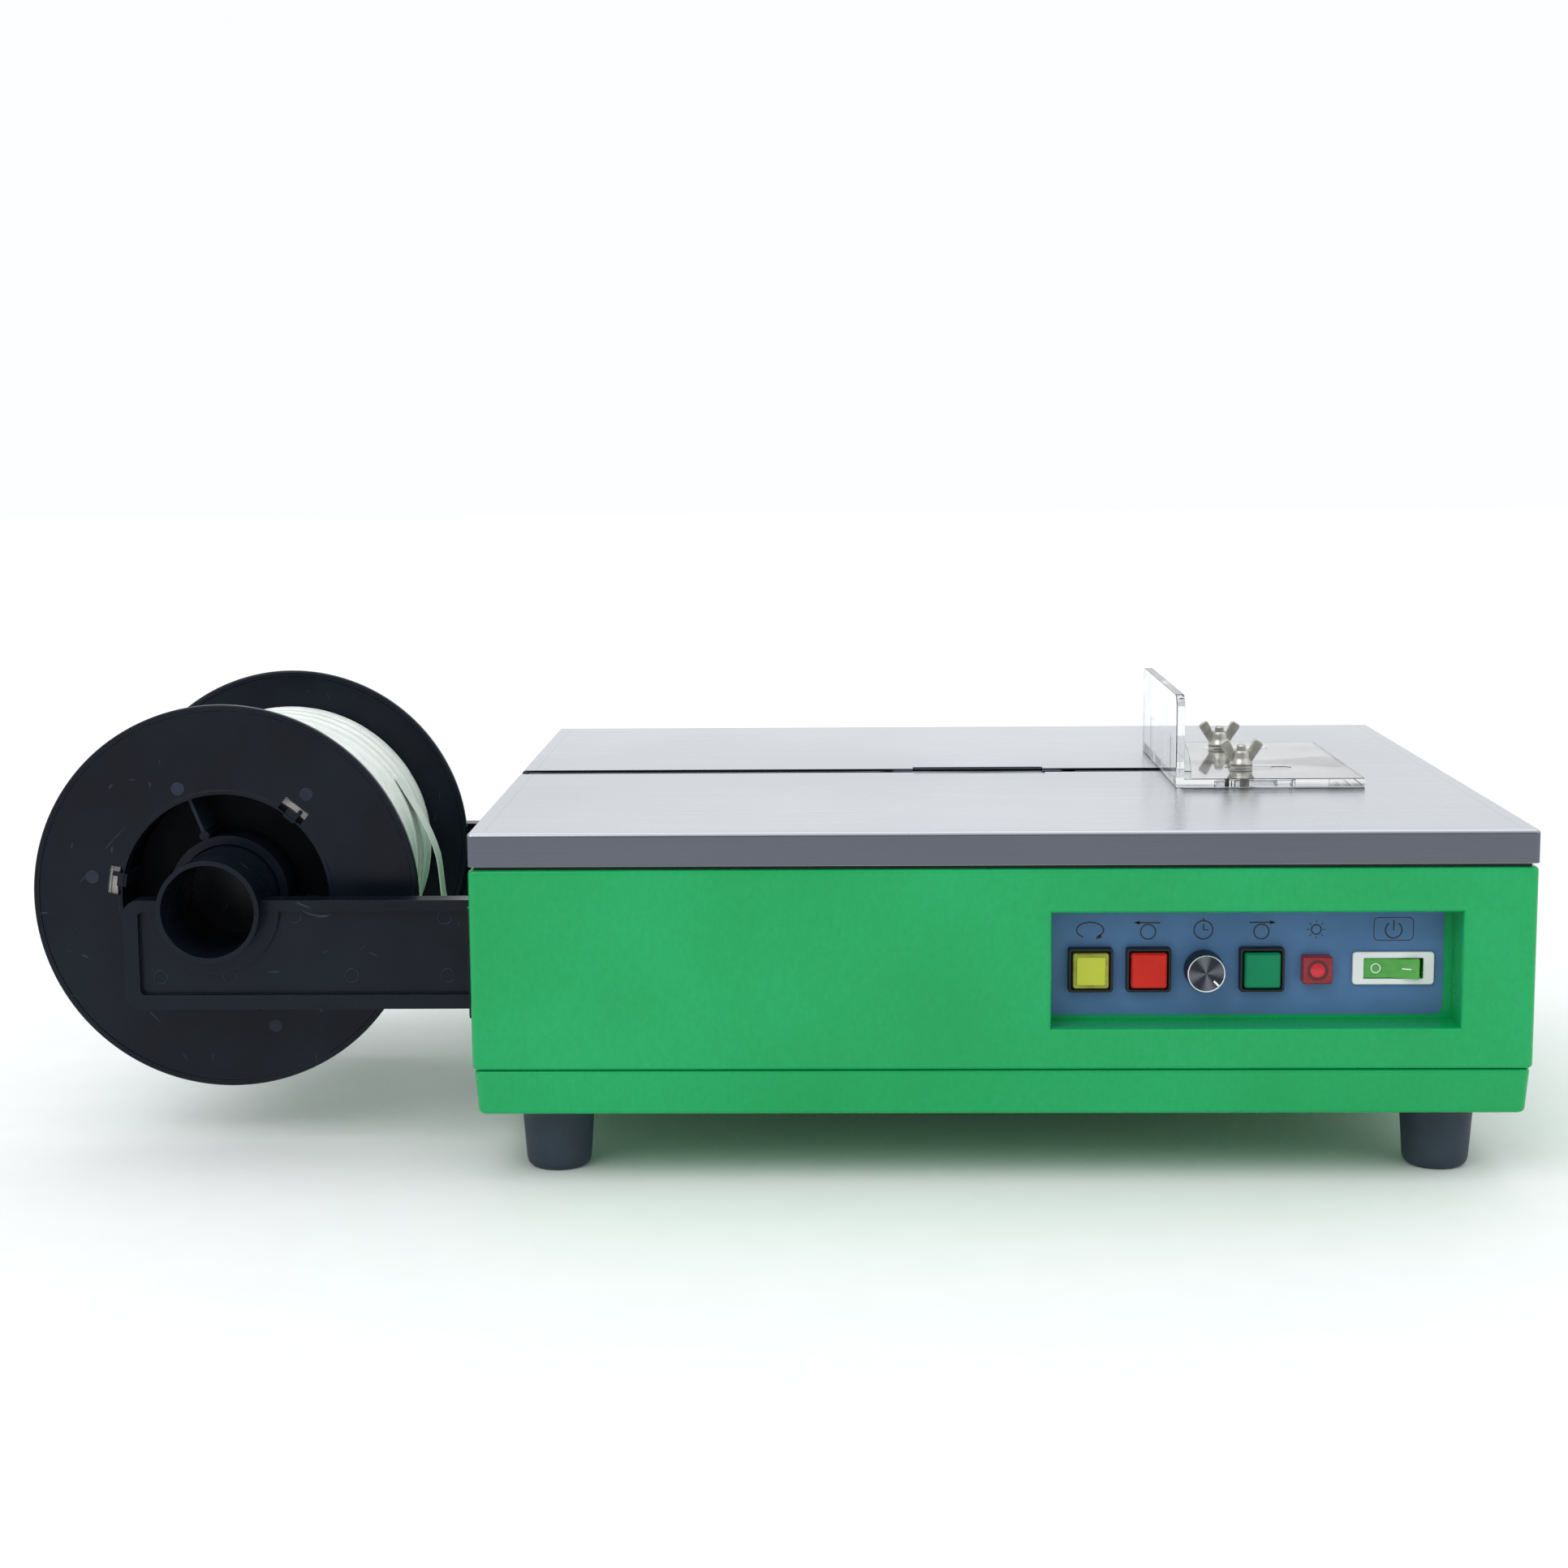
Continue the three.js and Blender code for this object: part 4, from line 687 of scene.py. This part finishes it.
def feet():
    """Tapered feet, sunk in the middle of the sole, each with its screw up into the cabinet."""
    sole = [(0, 0.9), (9, 0.9), (9.6, 0)]
    wall = [(13.3, 0), (15.6, 0.6), (17.1, 2.2), (17.8, 4.5), (20.0, 35.4), (20.3, 36.2), (20.1, 37.8)]
    for depth in ("front", "rear"):
        for side in ("left", "right"):
            node = f"foot_{depth}_{side}"
            screw_top = box_mm(node)[1].z
            profile = sole + soften(wall, 1.2) + [(3, 37.8), (3, screw_top), (0, screw_top)]
            foot = turned("z", *middle(node, "xy"), profile, 96)
            piece(f"rubber_{node}", "cabinet", [(foot, RUBBER)], [node])


def cross_screw(axis, u, v, w, sign):
    """Pan head with a cross recess; w is the underside and sign points to the head's top."""
    radius, height = 4.8, 3.2
    profile = [(0, height), (radius * 0.45, height * 0.97), (radius * 0.75, height * 0.78),
               (radius * 0.93, height * 0.45), (radius, height * 0.12), (radius * 0.96, 0), (0, 0)]
    head = turned(axis, u, v, [(r, w + sign * h) for r, h in profile], 48)
    deep, top = w + sign * height * 0.4, w + sign * (height + 1)
    for du, dv in ((radius * 0.55, 0.5), (0.5, radius * 0.55)):
        cut(head, block(axis, u - du, u + du, v - dv, v + dv, min(deep, top), max(deep, top)))
    return head


def screws():
    for place in ARM_SCREWS:
        node = "arm_screw_" + place
        low, high = box_mm(node)
        u, v = middle(node, "yz")
        parts = [(cross_screw("x", u, v, low.x + 3.2, -1), ZINC),
                 (rod("x", u, v, 2.5, low.x + 3, high.x, segments=32), ZINC)]
        piece("pan_screw_" + place, "cabinet", parts, [node])
    low, high = box_mm("rear_cover")
    tip, flat = high.y - 2, high.y - 0.05
    heads = []
    for x in (low.x + 16, -60, 60, high.x - 16):
        for z in (low.z + 9, high.z - 9):
            cone = turned("y", x, z, [(0, tip), (2.4, tip), (4.6, flat), (0, flat)])
            cross = [block("y", x - du, x + du, z - dv, z + dv, high.y - 0.9, high.y + 1)
                     for du, dv in ((2.6, 0.5), (0.5, 2.6))]
            heads.append((cut(cone, *cross), ZINC))
    piece("rear_cover_screws", "cabinet", heads)


# ---------------------------------------------------------------- controls
def on_row(x, half_x, half_z, y0, y1, r=0.0, low=0.0):
    """Block whose middle is on the row of controls."""
    return block("y", x - half_x, x + half_x, ROW_Z - half_z, ROW_Z + half_z, y0, y1, r, low)


def control_panel():
    """Painted backing plate with a blue film whose right-hand corners are rounded."""
    low, high = box_mm("control_plate")
    plate = block("y", low.x, high.x, low.z, high.z, low.y, high.y)
    u0, u1, v0, v1 = WINDOW[0] - 1.2, WINDOW[1] - 4.5, WINDOW[2] - 1.2, WINDOW[3] + 1.2
    right_end = rectangle(u1 - 20, u1, v0 + 3.5, v1 - 3, 4.5, 8)
    outline = [p for p in right_end if p[0] > u1 - 10] + [(u0, v1 - 3), (u0, v0 + 3.5)]
    outline.sort(key=lambda p: math.atan2(p[1] - ROW_Z, p[0] - (u0 + u1) / 2))
    film = prism("y", outline, low.y - 0.18, low.y + 0.05)
    front, back = low.y - 1, high.y + 1
    holes = [rod("y", *middle(name, "x"), ROW_Z, 8.3, front, back)
             for name in ("reset_button_bezel", "back_button_bezel", "feed_button_bezel")]
    holes.append(rod("y", KNOB_X, ROW_Z, 3.4, front, back))
    holes.append(on_row(*middle("switch_bezel", "x"), 19.3, 7.3, front, back))
    copies = [obj.copy() for obj in holes]
    for copy in copies:
        bpy.context.scene.collection.objects.link(copy)
    parts = [(cut(plate, *holes), GREEN), (cut(film, *copies), PANEL)]
    piece("control_panel", "cabinet", parts, ["control_plate"])


def band(points, width, closed=False):
    """Outline of a line of constant width along points in X and Z."""
    left, right = [], []
    n = len(points)
    for i, p in enumerate(points):
        a = Vector(points[(i - 1) % n] if closed or i else p)
        b = Vector(points[(i + 1) % n] if closed or i < n - 1 else p)
        way = (b - a).normalized()
        side = Vector((-way.y, way.x)) * width / 2
        left.append(Vector(p) + side)
        right.append(Vector(p) - side)
    return left, right


def stroke(points, closed=False, width=0.75):
    """A printed line on the panel's film."""
    y0, y1 = PANEL_Y - 0.24, PANEL_Y - 0.1
    left, right = band(points, width, closed)
    rings = [[(a.x, y0, a.y), (b.x, y0, b.y), (b.x, y1, b.y), (a.x, y1, a.y)] for a, b in zip(left, right)]
    return loft(rings, closed)


def arc(x, z, radius, start, stop, squash=1.0):
    steps = 36
    turns = [math.radians(start + (stop - start) * i / steps) for i in range(steps + 1)]
    return [(x + radius * math.cos(a), z + radius * squash * math.sin(a)) for a in turns]


def circle(x, z, radius):
    return stroke(arc(x, z, radius, 0, 360)[:-1], closed=True)


def arrow_head(x, z, degrees):
    tips = [polar(x, z, 1.9, math.radians(degrees) + t) for t in (0, 2.5, -2.5)]
    return prism("y", tips, PANEL_Y - 0.24, PANEL_Y - 0.1)


def pictograms():
    """Plain signs over the controls: round again, wind back, time, feed, lit lamp, on and off."""
    z = ROW_Z + 21
    x, = middle("reset_button", "x")
    marks = [stroke(arc(x, z, 7.2, -60, 240, 0.6)), arrow_head(x + 4.6, z - 4, 215)]
    for name, reach, heading in (("back_button", -6, 180), ("feed_button", 6, 0)):
        x, = middle(name, "x")
        marks += [circle(x, z - 1, 4), stroke([(x - 6.5, z + 4), (x + 6.5, z + 4)]),
                  arrow_head(x + reach, z + 4, heading)]
    x = KNOB_X
    marks += [circle(x, z, 5), stroke([(x, z + 3.2), (x, z), (x + 2.6, z)]),
              stroke([(x, z + 5), (x, z + 6.4)])]
    x, = middle("power_lamp", "x")
    marks.append(circle(x, z, 2.6))
    for k in range(8):
        marks.append(stroke([polar(x, z, r, math.radians(45 * k)) for r in (3.7, 5.2)], width=0.45))
    x, = middle("switch_bezel", "x")
    marks += [stroke(arc(x, z - 0.4, 4.4, 125, 415)), stroke([(x, z - 0.6), (x, z + 5)], width=0.7),
              stroke(rectangle(x - 10.5, x + 10.5, z - 6, z + 6.4, 2.4), closed=True, width=0.45)]
    piece("panel_signs", "cabinet", [(mark, PRINT) for mark in marks])


def push_buttons():
    """Square caps in black collars; each collar is one closed ring, so nothing spans its mouth."""
    looks = {"reset": (YELLOW_TOP, YELLOW_SKIRT, "cap_yellow"), "back": (RED_CAP, RED_CAP, "cap_red"),
             "feed": (GREEN_CAP, GREEN_CAP, "cap_green")}
    for name, (top_look, skirt_look, cap_slot) in looks.items():
        low, high = box_mm(name + "_button_bezel")
        x = (low.x + high.x) / 2
        front, back = low.y, PANEL_Y - 0.3
        # half width, depth and corner radius of each ring of the collar
        section = [(12, back, 1.6), (12, front + 0.9, 1.6), (11.7, front + 0.25, 1.4), (11.2, front, 1.2),
                   (10.7, front + 0.05, 1), (9.9, front + 1.2, 0.6), (9.9, back, 0.6)]
        collar = loft([[along("y", u, v, w) for u, v in rectangle(x - h, x + h, ROW_Z - h, ROW_Z + h, r)]
                       for h, w, r in section], closed=True)
        tube = cut(rod("y", x, ROW_Z, 8, PANEL_Y - 1.6, high.y, 0.6),
                   on_row(x, 4.4, 4.4, PANEL_Y - 3, high.y + 1))
        piece(f"{name}_collar", "cabinet", [(collar, BEZEL), (tube, BEZEL)],
              [name + "_button_bezel"])
        cap_low, cap_high = box_mm(name + "_button")
        front, back = cap_low.y, cap_low.y + 3.5
        skirt = on_row(x, 9.6, 9.6, front + 0.8, back, r=1.4, low=0.9)
        inner = 7.7 if name == "reset" else 9
        raised = on_row(x, inner, inner, front, front + 1.6, r=0.9, low=0.5)
        stem = on_row(x, 4, 4, back - 0.5, cap_high.y)
        parts = [(skirt, skirt_look), (raised, top_look), (stem, WHITE)]
        if name == "reset":
            for dx, dz in ((-8.8, 0), (8.8, 0), (0, -8.8), (0, 8.8)):
                u, v = x + dx, ROW_Z + dz
                wide, tall = (0.5, 2.2) if dx else (2.2, 0.5)
                tab = block("y", u - wide, u + wide, v - tall, v + tall, front + 1.6, back, r=0.2)
                parts.append((tab, BEZEL))
        piece(f"{name}_cap", f"{name}_button", parts, [name + "_button"])


def timer_knob():
    """Fluted skirt, bright rim, turned face with a white pointer, and the shaft behind."""
    x = KNOB_X
    face, radius = KNOB_LOW.y, (KNOB_HIGH.x - KNOB_LOW.x) / 2
    back = PANEL_Y - 1.6
    flutes, groove, rings = 36, 0.22, []
    skirt = soften([(9.8, face + 0.7), (10.25, face + 1.2), (radius, back - 1.2), (radius - 0.5, back)], 0.5)
    for r, y in skirt:
        ring = []
        for i in range(flutes * 4):
            a = 2 * math.pi * i / (flutes * 4)
            reach = r - groove * (i % 4 == 0)
            ring.append(along("y", *polar(x, ROW_Z, reach, a), y))
        rings.append(ring)
    side = loft(rings)
    rim = turned("y", x, ROW_Z, [(9.35, face + 0.15), (9.5, face), (9.95, face + 0.05), (10.2, face + 0.5),
                                (10.1, face + 1.2), (9.3, face + 1.2)], 96, closed=True)
    disc = turned("y", x, ROW_Z, [(0, face + 0.3), (9.4, face + 0.3), (9.4, face + 1), (0, face + 1)], 96)
    pointer = block("y", x + 5.6, x + 9.2, ROW_Z - 0.5, ROW_Z + 0.5, face + 0.12, face + 0.6, r=0.2)
    turn(pointer, 45, "y", (x, face, ROW_Z))
    shaft = rod("y", x, ROW_Z, 3, back - 0.5, KNOB_HIGH.y, 0.3)
    parts = [(side, BEZEL), (rim, CHROME), (disc, KNOB_FACE), (pointer, MARK_WHITE), (shaft, STEEL)]
    piece("timer_dial", "timer_knob", parts, ["timer_knob"])


def power_lamp():
    low, high = box_mm("power_lamp")
    x = (low.x + high.x) / 2
    front = low.y
    lens = block("y", low.x, high.x, low.z, high.z, front + 0.6, PANEL_Y - 0.3, r=1.2, low=1.0)
    lip = [(5.6, front + 0.9), (5.6, front + 0.3), (4, front + 0.3), (4, front + 0.9)]
    ring = turned("y", x, ROW_Z, soften(lip, 0.2, closed=True), 64, closed=True)
    bulge = [(0, 0), (1.6, 0.06), (3, 0.25), (3.9, 0.6), (4, 1), (0, 1)]
    dome = turned("y", x, ROW_Z, [(r, front + back) for r, back in bulge], 64)
    stem = rod("y", x, ROW_Z, 4.8, PANEL_Y - 0.6, high.y, 0.4)
    parts = [(lens, LENS), (ring, LENS_RING), (dome, LENS_MIDDLE), (stem, WHITE)]
    piece("lamp_lens", "cabinet", parts, ["power_lamp"])


def power_switch():
    low, high = box_mm("switch_bezel")
    x = (low.x + high.x) / 2
    plate = block("y", low.x, high.x, low.z, high.z, low.y, PANEL_Y - 0.3, r=2, low=0.7)
    well = on_row(x, 15.95, 5.7, PANEL_Y - 4, high.y + 1, r=0.4)
    weld(plate, on_row(x, 19, 7, PANEL_Y - 0.9, high.y, r=0.6))
    cut(plate, well)
    liner = cut(on_row(x, 16.3, 6.05, low.y + 0.8, PANEL_Y + 10),
                on_row(x, 15.85, 5.6, PANEL_Y - 5, PANEL_Y + 11))
    piece("switch_frame", "cabinet", [(plate, WHITE), (liner, ROCKER)], ["switch_bezel"],
          bevel=0.2)

    # the rocker's face dips to a valley over its pivot and rises to both ends
    pivot_y, half, rise, valley = PANEL_Y + 3.5, 14.6, 2.574, 5.1
    centre = (x, pivot_y, ROW_Z)
    corners = [(-half, -valley - rise), (0, -valley), (half, -valley - rise), (half, -2.6), (4, 3), (-4, 3),
               (-half, -2.6)]
    outline = [(x + u, pivot_y + v) for u, v in soften(corners, 0.5, closed=True)]
    body = prism("z", outline, ROW_Z - 5.3, ROW_Z + 5.3, edge=0.4)
    slope = math.degrees(math.atan2(rise, half))
    ring = turned("y", x - 8.4, ROW_Z, [(2.2, 0), (2.65, 0), (2.65, 0.3), (2.2, 0.3)], 48, closed=True)
    bar = block("y", x + 5.4, x + 10.4, ROW_Z - 0.28, ROW_Z + 0.28, 0, 0.3)
    for mark, place, sign in ((ring, -8.4, 1), (bar, 7.9, -1)):
        face_y = pivot_y - valley - abs(place) * rise / half
        move(mark, y=face_y - 0.08)
        turn(mark, sign * slope, "z", (x + place, face_y, ROW_Z))
    parts = [(turn(obj, -10, "z", centre), look)
             for obj, look in ((body, ROCKER), (ring, MARK_WHITE), (bar, MARK_WHITE))]
    piece("rocker_cap", "switch_rocker", parts, ["switch_rocker"])


# ---------------------------------------------------------------- stop fittings
def stop_fittings():
    """Threaded studs with hexagon heads under the table, washers and cast wing nuts."""
    wing = [(3.6, 1.4), (6.2, 1.5), (8.2, 4.6), (13.5, 12.5), (8, 16.1), (5.6, 12), (4.6, 8.8), (3.6, 8)]
    hub = [(3.3, 0), (7, 0), (6.9, 1.2), (6.2, 2.4), (5.5, 3.8), (5.1, 7.6), (4.4, 8.8), (3.3, 9)]
    for place in ("front", "rear"):
        low, high = box_mm("stop_stud_" + place)
        x, y = (low.x + high.x) / 2, (low.y + high.y) / 2
        thread = [(0, low.z), (2.9, low.z)]
        z = low.z + 5
        while z < high.z - 1.2:
            thread += [(2.55, z), (3.0, z + 0.4), (3.0, z + 0.55), (2.55, z + 0.95)]
            z += 1
        thread += [(2.4, high.z - 0.3), (1.9, high.z), (0, high.z)]
        hexagon = [polar(x, y, 5.8, math.radians(60 * k)) for k in range(6)]
        head = prism("z", hexagon, low.z + 1, low.z + 4, edge=0.4)
        piece(f"threaded_stud_{place}", "cabinet",
              [(turned("z", x, y, thread, 32), ZINC), (head, ZINC)], ["stop_stud_" + place])

        low, high = box_mm("stop_washer_" + place)
        ring = soften([(3.4, low.z), (7, low.z), (7, high.z), (3.4, high.z)], 0.4, closed=True)
        piece(f"flat_washer_{place}", "cabinet",
              [(turned("z", x, y, ring, 64, closed=True), ZINC)], ["stop_washer_" + place])

        low, high = box_mm("wing_nut_" + place)
        base = low.z
        body = turned("z", x, y, [(r, base + h) for r, h in soften(hub, 0.8, closed=True)], 64, closed=True)
        parts = [(body, ZINC)]
        for side in (-1, 1):
            outline = [(x + side * u, base + v) for u, v in soften(wing, 2.0, closed=True)]
            parts.append((prism("y", outline, y - 1.6, y + 1.6, edge=0.8), ZINC))
        piece(f"wing_grip_{place}", f"wing_nut_{place}", parts, ["wing_nut_" + place])


# ---------------------------------------------------------------- reel and arms
# left end, underside and top of the arms
ARM_SPAN = (-483, 83.5, 145)
# ejector marks: X and Z from the reel's axis on an arm, radius and degrees on a reel half
MARKS_ON_ARM = ((45, -5), (129, -6), (76, -39), (130, -39), (-31, -39.5), (8, -39))
MARKS_ON_REEL = ((67, 112), (75.5, 51), (76.7, 171), (79, 289))


def reel_arm(place):
    """Moulded arm with a sunk outer face, a screwed foot and the hollow stub that bears the reel."""
    side = -1 if place == "front" else 1
    low, high = box_mm("reel_arm_" + place)
    left, bottom, top = ARM_SPAN
    right = high.x
    outer = low.y + 11 if side < 0 else high.y - 11

    def span(a, b):
        """From a to b, both measured inwards from the arm's outer face."""
        return sorted((outer - side * a, outer - side * b))

    def slab(u0, u1, v0, v1, a, b, r):
        return block("y", u0, u1, v0, v1, *span(a, b), r)

    def disc(radius, a, b):
        return rod("y", REEL_X, REEL_Z, radius, *span(a, b), segments=96)

    stub_end = (high.y - outer) if side < 0 else (outer - low.y)
    foot_low, foot_high = span(-25, 13 + 25)
    arm = slab(left, right + 10, bottom, top, 0, 13, 8)
    cut(arm, slab(left + 8, right - 6, bottom + 8, top - 6, -1, 4, 3),
        block("y", right, right + 12, bottom - 1, top + 1, *span(-1, 30)))
    pad = cut(disc(37, 0.8, 13), block("y", REEL_X - 50, REEL_X + 50, top, top + 80, *span(-1, 20)))
    weld(arm, block("x", foot_low, foot_high, bottom, top, right - 5, right, r=2), pad,
         disc(28.5, -11, stub_end))
    holes = [disc(26, -12, stub_end - 2.5)]
    for name in ARM_SCREWS:
        if name.startswith(place):
            holes.append(rod("x", *middle("arm_screw_" + name, "yz"), 2.9, right - 8, right + 1, segments=24))
    cut(arm, *holes)
    parts = [(arm, BLACK)]
    w0, w1 = span(3.6, 4.4)
    section = soften([(3.6, w0), (4.1, w0), (4.1, w1), (3.6, w1)], 0.15, closed=True)
    for dx, dz in MARKS_ON_ARM:
        parts.append((turned("y", REEL_X + dx, REEL_Z + dz, section, 40, closed=True), BLACK_MARK))
    piece(f"moulded_arm_{place}", "cabinet", parts, ["reel_arm_" + place], 0.7, BLACK_EDGE_PAINTED_HIGHLIGHT)


def reel_half(place):
    """Drawn for the front; the rear half is the same moulding turned to face away."""
    half_width, rim = REEL_Y - REEL_LOW.y, REEL_R
    tube = half_width - 0.5
    # pairs of radius and height; heights are measured inwards from the outer face
    flange = [(59, 0), (61, 0), (61.5, 0.7), (rim - 3.6, 0.7), (rim - 3, 0), (rim - 0.6, 0), (rim, 0.6),
              (rim, 3.6), (rim - 1, 4.2), (rim - 3, 4.2), (rim - 4, 3), (62.3, 3), (62.3, tube), (59, tube)]
    cup = [(59, 39.3), (29.2, 39.3), (29.2, 7.3), (34, 7.3), (34, 36.3), (59, 36.3)]
    # the lining is a thin dark sheet laid over the floor and outer wall of the hub's recess, as painted shade
    shade_lining = [(34.02, 36.25), (58.98, 36.25), (58.98, 9), (58.9, 9), (58.9, 36.15), (34.02, 36.15)]
    body = turned("y", 0, 0, flange + cup, 144, closed=True)
    plug = [(0, 0.66), (3.1, 0.66), (3.4, 0.5), (3.7, 0.6), (3.7, 1.2), (0, 1.2)]
    latches = (51, 171, 291)
    windows = [block("y", 59.4, 67.4, -8, 8, -2, 6, r=0.3) for _ in latches]
    cut(body, *[turn(window, -angle, "y", (0, 0, 0)) for window, angle in zip(windows, latches)])
    liner = turned("y", 0, 0, shade_lining, 144, closed=True)
    parts = [(body, BLACK), (liner, BLACK_RECESS_PAINTED_SHADE)]
    for angle in (111, 231, 351):
        rib = block("y", 33, 60, -1.1, 1.1, 9.5, 37, low=0.5)
        knuckle = rod("y", 36.2, 0, 2.9, 8.6, 37, 0.5, 32)
        for obj, look in ((rib, BLACK_MARK), (knuckle, BLACK)):
            parts.append((turn(obj, -angle, "y", (0, 0, 0)), look))
    for angle in latches:
        spring = block("y", 57, 62.6, -4.6, 3.4, 0.8, 34, r=0.8, low=0.6)
        tooth = block("y", 61, 65.6, -4.6, -2.4, 1.2, 4.4, r=0.4, low=0.3)
        for obj in (spring, tooth):
            parts.append((turn(obj, -angle, "y", (0, 0, 0)), BLACK))
    for radius, degrees in MARKS_ON_REEL:
        mark = turned("y", *polar(0, 0, radius, math.radians(degrees)), plug, 40)
        parts.append((mark, BLACK_MARK))
    for obj, _ in parts:
        if place == "rear":
            turn(obj, 180, "z", (0, half_width, 0))
        move(obj, REEL_X, REEL_LOW.y, REEL_Z)
    piece(f"reel_cheek_{place}", "reel", parts, ["reel_flange_" + place], 0.3, BLACK_EDGE_PAINTED_HIGHLIGHT)


def wound_strap():
    """Coil of strap: each layer is a helix of overlapping turns, seen as fine stepped edges."""
    low, high = box_mm("strap_coil")
    core_low, core_high = box_mm("paper_core")
    outer = (high.x - low.x) / 2
    inner = (core_high.x - core_low.x) / 2 + 0.3
    around, across = 128, 330
    width = high.y - low.y
    # pitch in millimetres, starts (their sign is the hand), phase in turns, and step in millimetres
    layers = ((15.8, 1, 0.1, 0.3), (16.6, 1, 0.42, 0.26), (17.5, 1, 0.74, 0.26), (13.1, -1, 0.3, 0.16))

    def depth(y, turn_share):
        total = 1.5 * math.exp(-min(y, width - y) / 3)
        for pitch, starts, phase, step in layers:
            share = (y / pitch + starts * turn_share + phase) % 1
            total += step * share + (step if share > 0.96 else 0)
        return total

    rings = []
    for j in range(across + 1):
        y = width * j / across
        ring = []
        for i in range(around):
            a = 2 * math.pi * i / around
            r = outer - 0.05 - depth(y, i / around)
            ring.append(along("y", *polar(REEL_X, REEL_Z, r, a), low.y + y))
        rings.append(ring)
    turns = [2 * math.pi * i / around for i in range(around)]
    for y in (high.y, low.y):
        rings.append([along("y", *polar(REEL_X, REEL_Z, inner, a), y) for a in turns])
    piece("wound_strap", "reel", [(loft(rings, closed=True), STRAP)], ["strap_coil"])


def paper_core():
    low, high = box_mm("paper_core")
    outer = (high.x - low.x) / 2
    ring = soften([(62.7, low.y), (outer, low.y), (outer, high.y), (62.7, high.y)], 0.4, closed=True)
    piece("card_core", "reel", [(turned("y", REEL_X, REEL_Z, ring, 128, closed=True), CARD)],
          ["paper_core"])


# ---------------------------------------------------------------- everything, in order
def dress_cad_nodes():
    keep(GREEN, 0.5, "rear_cover")
    keep(BEZEL, 0.3, "power_inlet", "timer_potentiometer")
    keep(ACRYLIC, 0.4, "side_stop", smooth=False)
    keep(STRAP, 0.1, "strap_lead")
    keep(BLACK, 0.5, "strap_inlet_guide")
    keep(STEEL, 0.3, "inlet_roller", "camshaft", "left_gripper_cam", "cutter_cam", "right_gripper_cam",
         "cam_pulley", "motor_pulley", "left_gripper", "cutter_press", "right_gripper", "feed_bracket",
         "pinch_roller")
    keep(IRON, 0.8, "head_frame", "drive_motor")
    keep(BELT, 0.3, "drive_belt", "feed_roller")
    keep(STAINLESS, 0.3, "anvil_slide")
    keep(COPPER, 0.4, "heater_arm", "transformer")
    keep(BOARD, 0.2, "control_board")


def add_floor():
    """Pale seamless floor with a barely uneven surface."""
    floor = shape([(-9000, -9000, 0), (9000, -9000, 0), (9000, 9000, 0), (-9000, 9000, 0)], [(0, 1, 2, 3)])
    floor.name = "floor"
    floor.data.transform(Matrix.Scale(MM, 4))
    look = moulded("floor_paper", (0.9, 0.91, 0.915, 1), (0.885, 0.895, 0.9, 1), 0.7, 3, 0.02)
    floor.data.materials.append(look)


set_camera()
set_studio()
add_floor()
table_top()
cabinet_shell()
base_tray()
gap_shade_band()
feet()
screws()
control_panel()
pictograms()
push_buttons()
timer_knob()
power_lamp()
power_switch()
stop_fittings()
for end in ("front", "rear"):
    reel_arm(end)
    reel_half(end)
paper_core()
wound_strap()
dress_cad_nodes()
